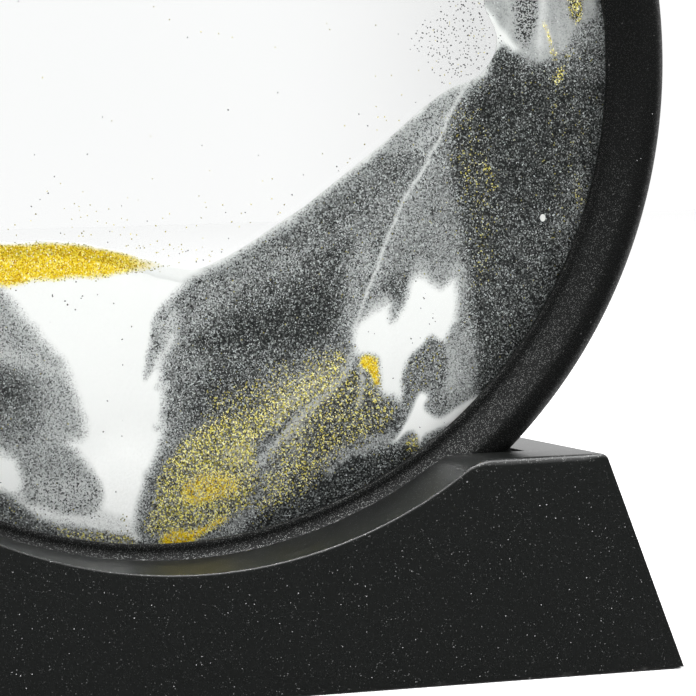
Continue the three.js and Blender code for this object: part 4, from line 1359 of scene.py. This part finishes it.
# The front edge is rounded most along the shoulders and least round the cradle
half_radii = np.concatenate(
    [
        np.linspace(STAND_EDGE, STAND_CORNER_EDGE, 2 + STAND_CORNER_STEPS),
        np.linspace(STAND_CORNER_EDGE, STAND_SHOULDER_EDGE, 3)[1:],
        np.full(len(STAND_FLAT) - 2, STAND_SHOULDER_EDGE),
        np.linspace(STAND_SHOULDER_EDGE, STAND_EDGE, 1 + STAND_SHOULDER_STEPS),
        np.full(STAND_CRADLE_STEPS, STAND_EDGE),
    ]
)
edge_radii = np.concatenate([half_radii, half_radii[-2::-1]])
front_outline = stand_outline(0, STAND_LEDGE_RADIUS + STAND_LEDGE_FALL)
inward = stand_outline(1, STAND_LEDGE_RADIUS + STAND_LEDGE_FALL) - front_outline
flat_row = front_outline + inward * (edge_radii + STAND_EDGE_FLAT)[:, None]
front_rows = [at_depth(flat_row, -stand_half_depth(flat_row[:, 1]))]
for number in range(STAND_EDGE_STEPS + 1):
    angle = math.pi / 2 * number / STAND_EDGE_STEPS
    row = front_outline + inward * (edge_radii * (1 - math.sin(angle)))[:, None]
    back = edge_radii * (1 - math.cos(angle))
    front_rows.append(at_depth(row, back - stand_half_depth(row[:, 1])))
ledge = stand_outline(0, STAND_LEDGE_RADIUS)
groove_side = groove_outline(GROOVE_RADIUS)
front_rows.append(at_depth(ledge, -GROOVE_HALF_WIDTH - GROOVE_EDGE))
front_rows.append(at_depth(ledge, -GROOVE_HALF_WIDTH))
front_rows.append(at_depth(groove_side, -GROOVE_HALF_WIDTH))
stand_rows = front_rows + [row * (1, -1, 1) for row in front_rows[::-1]]
stand_width = len(front_outline)
stand_points = np.vstack(stand_rows) * MM
stand_faces = [
    (a, a + 1, a + 1 + stand_width, a + stand_width)
    for row in range(len(stand_rows) - 1)
    for a in range(row * stand_width, (row + 1) * stand_width - 1)
]
last_row = (len(stand_rows) - 1) * stand_width
stand_faces.append(tuple(range(stand_width - 1, -1, -1)))
stand_faces.append(tuple(range(last_row, last_row + stand_width)))

stand_plastic = glitter_plastic("stand_plastic", STAND_GLITTER, STAND_WORN, 0.0, STAND_SPECULAR)
stand = new_piece("stand", stand_points, stand_faces, stand_plastic)
stand_form = bmesh.new()
stand_form.from_mesh(stand.data)
bmesh.ops.remove_doubles(stand_form, verts=stand_form.verts, dist=STAND_SEAM)
rim_edges = [edge for edge in stand_form.edges if edge.is_boundary]
pocket_x = STAND_BOTTOM_WIDTH / 2 - POCKET_RIM
pocket_y = STAND_BOTTOM_DEPTH / 2 - POCKET_RIM
for pocket_height in (STAND_RIM, POCKET_TOP):
    grown = bmesh.ops.extrude_edge_only(stand_form, edges=rim_edges)["geom"]
    rim_edges = [part for part in grown if isinstance(part, bmesh.types.BMEdge) and part.is_boundary]
    for vertex in {v for edge in rim_edges for v in edge.verts}:
        vertex.co.x = max(-pocket_x * MM, min(pocket_x * MM, vertex.co.x))
        vertex.co.y = max(-pocket_y * MM, min(pocket_y * MM, vertex.co.y))
        vertex.co.z = pocket_height * MM
bmesh.ops.holes_fill(stand_form, edges=rim_edges)
bmesh.ops.dissolve_degenerate(stand_form, dist=STAND_SLIVER, edges=stand_form.edges)
bmesh.ops.recalc_face_normals(stand_form, faces=stand_form.faces)
stand_form.to_mesh(stand.data)
stand_form.free()
stand.data.shade_smooth()
stand.data.set_sharp_from_angle(angle=STAND_SHARP)
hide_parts("stand_shell")
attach(stand, "stand")


# Base plate
# A flat plate of plain black plastic closes the underside of the stand inside its rim.
# It is moulded with a fine matt texture and recessed for the screw heads and the feet.
PLATE_BLACK = (0.014, 0.014, 0.014, 1)
PLATE_DUST = (0.05, 0.048, 0.045, 1)
PLATE_DUST_SCALE = 40.0

dress("base_plate", dull_black("plate_plastic", PLATE_BLACK, PLATE_DUST, PLATE_DUST_SCALE))


# Screws
# Four small self-tapping screws of zinc-plated steel hold the plate, one near each corner.
# Their low heads have a cross recess and sit in sinkings of the plate.
SCREW_HEAD_RADIUS = 2.6
SCREW_HEAD_HEIGHT = 1.2
SCREW_ROUNDING = 0.35
SCREW_ROUNDING_STEPS = 4
SCREW_SHANK_RADIUS = 1.25
SCREW_ROOT_RADIUS = 0.95
SCREW_PITCH = 0.9
SCREW_THREADS = 10
SCREW_TIP = 0.3
SCREW_STEPS = 32
CROSS_REACH = 1.45
CROSS_HALF_WIDTH = 0.33
CROSS_DEPTH = 0.7
CROSS_TAPER = 0.6
SCREW_DIM = (0.40, 0.40, 0.39, 1)
SCREW_BRIGHT = (0.62, 0.62, 0.60, 1)
SCREW_ROUGHNESS = (0.25, 0.5)
SCREW_CLOUD_SCALE = 900.0
SCREW_CLOUD_DETAIL = 4.0
CORNER_SEED = 3
CORNER_SHARP = math.radians(35)

screw_steel, screw_tree, screw_shader = new_finish("screw_steel")
screw_cloud = cloud(screw_tree, own_place(screw_tree), SCREW_CLOUD_SCALE, SCREW_CLOUD_DETAIL)
feed(
    screw_tree,
    screw_shader,
    {
        "Base Color": mix_colours(screw_tree, screw_cloud, SCREW_DIM, SCREW_BRIGHT),
        "Roughness": span(screw_tree, screw_cloud, 0.0, 1.0, *SCREW_ROUGHNESS),
    },
)
screw_shader.inputs["Metallic"].default_value = 1


def bridge(form, low, high):
    """Closes the gap between two loops of as many points."""
    for n in range(len(low)):
        form.faces.new((low[n - 1], low[n], high[n], high[n - 1]))


def turned_rings(form, profile, base, steps):
    """Faces turned round the Z axis from pairs of radius and height over a base; gives the rings back."""
    angles = [2 * math.pi * n / steps for n in range(steps)]
    rings = [
        [form.verts.new((r * MM * math.cos(a), r * MM * math.sin(a), base + z * MM)) for a in angles]
        for r, z in profile
    ]
    for low, high in zip(rings, rings[1:]):
        bridge(form, low, high)
    return rings


def cross_loop(form, share, height):
    """Corners of the cross recess, drawn in to a share of its width."""
    reach, width = CROSS_REACH * share * MM, CROSS_HALF_WIDTH * share * MM
    arm = [(width, width), (reach, width), (reach, -width)]
    loop = []
    for _ in range(4):
        loop += [form.verts.new((x, y, height)) for x, y in arm]
        arm = [(y, -x) for x, y in arm]
    return loop


plate_corners, corners_in, corners_out = new_layout(
    "at_plate_corners",
    {"Length": float, "Width": float, "Turn": float, "Seed": int, "Finish": bpy.types.Material},
)
corner_spots = outlet(
    plate_corners,
    "GeometryNodeMeshGrid",
    {"Size X": corners_in["Length"], "Size Y": corners_in["Width"], "Vertices X": 2, "Vertices Y": 2},
)
corner_turn = add_node(
    plate_corners,
    "FunctionNodeRandomValue",
    {2: 0.0, 3: corners_in["Turn"], "Seed": corners_in["Seed"]},
    data_type="FLOAT",
).outputs[1]
corner_pieces = outlet(
    plate_corners,
    "GeometryNodeInstanceOnPoints",
    {
        "Points": corner_spots,
        "Instance": corners_in["Geometry"],
        "Rotation": outlet(plate_corners, "ShaderNodeCombineXYZ", {"Z": corner_turn}),
    },
)
end_layout(plate_corners, corner_pieces, corners_in["Finish"], True, corners_out)


def set_at_corners(name, form, nodes, finish, turn):
    """Four copies of one form at the places of four CAD nodes."""
    bmesh.ops.recalc_face_normals(form, faces=form.faces)
    piece = new_piece(name, [], [], finish)
    form.to_mesh(piece.data)
    form.free()
    low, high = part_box(nodes[0])
    spread = {"Length": abs(low.x + high.x), "Width": abs(low.y + high.y)}
    run_layout(piece, plate_corners, {**spread, "Turn": turn, "Seed": CORNER_SEED, "Finish": finish})
    piece.data.set_sharp_from_angle(angle=CORNER_SHARP)
    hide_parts(*nodes)
    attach(piece, "stand")


screw_form = bmesh.new()
screw_low, screw_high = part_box("base_screw_1")
head_bend = [math.pi / 2 * n / SCREW_ROUNDING_STEPS for n in range(SCREW_ROUNDING_STEPS + 1)]
screw_profile = [
    (SCREW_HEAD_RADIUS - SCREW_ROUNDING * (1 - math.sin(a)), SCREW_ROUNDING * (1 - math.cos(a)))
    for a in head_bend
]
screw_profile += [(SCREW_HEAD_RADIUS, SCREW_HEAD_HEIGHT), (SCREW_ROOT_RADIUS, SCREW_HEAD_HEIGHT)]
for thread in range(SCREW_THREADS):
    thread_base = SCREW_HEAD_HEIGHT + SCREW_PITCH * thread
    screw_profile.append((SCREW_SHANK_RADIUS, thread_base + SCREW_PITCH / 2))
    screw_profile.append((SCREW_ROOT_RADIUS, thread_base + SCREW_PITCH))
screw_profile.append((SCREW_TIP, (screw_high.z - screw_low.z) / MM))
screw_rings = turned_rings(screw_form, screw_profile, screw_low.z, SCREW_STEPS)
screw_form.faces.new(screw_rings[-1])
cross_top = cross_loop(screw_form, 1.0, screw_low.z)
cross_floor = cross_loop(screw_form, CROSS_TAPER, screw_low.z + CROSS_DEPTH * MM)
bridge(screw_form, cross_top, cross_floor)
screw_form.faces.new(cross_floor)
head_edges = [edge for edge in screw_form.edges if edge.is_boundary]
bmesh.ops.triangle_fill(screw_form, use_beauty=True, use_dissolve=False, edges=head_edges)
screw_nodes = [f"base_screw_{n}" for n in range(1, 5)]
set_at_corners("plate_screws", screw_form, screw_nodes, screw_steel, math.pi / 2)


# Feet
# Four round pads of soft black rubber are glued into recesses at the corners of the plate.
# Each has a rounded edge, a ring groove and a hollow middle, and the stand rests on its flat face.
FOOT_BLACK = (0.012, 0.012, 0.012, 1)
FOOT_BLOOM = (0.06, 0.058, 0.055, 1)
FOOT_BLOOM_SCALE = 500.0
FOOT_STEPS = 48
FOOT_PROFILE = [
    (1.4, 0.2), (1.7, 0.0), (2.9, 0.0), (3.05, 0.18), (3.3, 0.18), (3.45, 0.0), (3.9, 0.0), (4.13, 0.05),
    (4.32, 0.18), (4.45, 0.37), (4.5, 0.6), (4.5, 2.0),
]

foot_rubber = dull_black("foot_rubber", FOOT_BLACK, FOOT_BLOOM, FOOT_BLOOM_SCALE)
foot_form = bmesh.new()
foot_rings = turned_rings(foot_form, FOOT_PROFILE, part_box("foot_1")[0].z, FOOT_STEPS)
foot_form.faces.new(foot_rings[0])
foot_form.faces.new(foot_rings[-1])
foot_nodes = [f"foot_{n}" for n in range(1, 5)]
set_at_corners("rubber_feet", foot_form, foot_nodes, foot_rubber, 0.0)


# Studio
# A white floor and a white backdrop, lit by large soft boxes above and at both sides.
# The front stays dim, so that the black plastic keeps its depth.
CAMERA_PLACE = (-0.16043, -0.56325, 0.09062)
CAMERA_YAW = 18.97
CAMERA_PITCH = 3.45
CAMERA_ROLL = -1.18
CAMERA_LENS = 183.47
CAMERA_SENSOR = 36.0
CAMERA_CLIP = 0.01
FLOOR_SIZE = 6.0
FLOOR_DIM = (0.93, 0.93, 0.93, 1)
FLOOR_BRIGHT = (0.945, 0.945, 0.945, 1)
FLOOR_CLOUD_SCALE = 3.0
FLOOR_ROUGHNESS = 0.9
FLOOR_SPECULAR = 0

# Each soft box has its name, place, width, height and power in watts, and shows in gloss or doesn't
SOFT_BOX_AIM = Vector((0, 0, 0.08))
SOFT_BOXES = [
    ("soft_box_top", (0.05, 0.08, 1.10), 1.0, 0.8, 17.0, True),
    ("soft_box_left", (-0.95, -0.75, 0.65), 0.9, 0.9, 14.7, False),
    ("soft_box_right", (0.95, -0.75, 0.65), 0.9, 0.9, 11.0, False),
]
BACKDROP_WHITE = (1, 1, 1, 1)
BACKDROP_SEEN = 1.03
BACKDROP_FRONT = 0.05
BACKDROP_REAR_TURN = (-0.1, 0.4)
BACKDROP_TOP_TURN = (0.3, 0.7)
BACKDROP_TOP = 1.25

scene = bpy.context.scene
scene.view_settings.view_transform = "Standard"
camera_data = bpy.data.cameras.new("photo_camera")
camera_data.lens = CAMERA_LENS
camera_data.sensor_width = CAMERA_SENSOR
camera_data.clip_start = CAMERA_CLIP
camera = bpy.data.objects.new("photo_camera", camera_data)
camera.matrix_world = (
    Matrix.Translation(CAMERA_PLACE)
    @ Matrix.Rotation(math.radians(-CAMERA_YAW), 4, "Z")
    @ Matrix.Rotation(math.radians(90 - CAMERA_PITCH), 4, "X")
    @ Matrix.Rotation(math.radians(CAMERA_ROLL), 4, "Z")
)
scene.collection.objects.link(camera)
scene.camera = camera

floor_white, floor_tree, floor_shader = new_finish("floor_white")
floor_cloud = cloud(floor_tree, own_place(floor_tree), FLOOR_CLOUD_SCALE)
floor_tone = mix_colours(floor_tree, floor_cloud, FLOOR_DIM, FLOOR_BRIGHT)
feed(floor_tree, floor_shader, {"Base Color": floor_tone})
floor_shader.inputs["Roughness"].default_value = FLOOR_ROUGHNESS
floor_shader.inputs["Specular IOR Level"].default_value = FLOOR_SPECULAR
floor_corners = [(-1, -1, 0), (1, -1, 0), (1, 1, 0), (-1, 1, 0)]
floor = new_piece("floor", np.array(floor_corners) * FLOOR_SIZE / 2, [(0, 1, 2, 3)], floor_white)
floor.visible_glossy = False

for light_name, light_place, light_width, light_height, light_power, light_shines in SOFT_BOXES:
    light_data = bpy.data.lights.new(light_name, "AREA")
    light_data.shape = "RECTANGLE"
    light_data.size = light_width
    light_data.size_y = light_height
    light_data.energy = light_power
    light = bpy.data.objects.new(light_name, light_data)
    aim = SOFT_BOX_AIM - Vector(light_place)
    light.matrix_world = Matrix.Translation(light_place) @ aim.to_track_quat("-Z", "Y").to_matrix().to_4x4()
    light.visible_glossy = light_shines
    scene.collection.objects.link(light)

backdrop = bpy.data.worlds.new("white_backdrop")
backdrop.use_nodes = True
scene.world = backdrop
sky_tree = backdrop.node_tree
sky_way = add_node(sky_tree, "ShaderNodeTexCoord").outputs["Generated"]
sky_parts = add_node(sky_tree, "ShaderNodeSeparateXYZ", {0: sky_way}).outputs
smooth = {"interpolation_type": "SMOOTHSTEP"}
sky_back = span(sky_tree, sky_parts[1], *BACKDROP_REAR_TURN, **smooth)
sky_top = span(sky_tree, sky_parts[2], *BACKDROP_TOP_TURN, 0.0, BACKDROP_TOP, **smooth)
sky_glow = worked(sky_tree, sky_back, ("MAXIMUM", sky_top), ("MAXIMUM", BACKDROP_FRONT))
sky_seen = add_node(sky_tree, "ShaderNodeLightPath").outputs["Is Camera Ray"]
sky_strength = outlet(sky_tree, "ShaderNodeMix", {0: sky_seen, 2: sky_glow, 3: BACKDROP_SEEN})
feed(sky_tree, sky_tree.nodes["Background"], {"Strength": sky_strength})
sky_tree.nodes["Background"].inputs["Color"].default_value = BACKDROP_WHITE
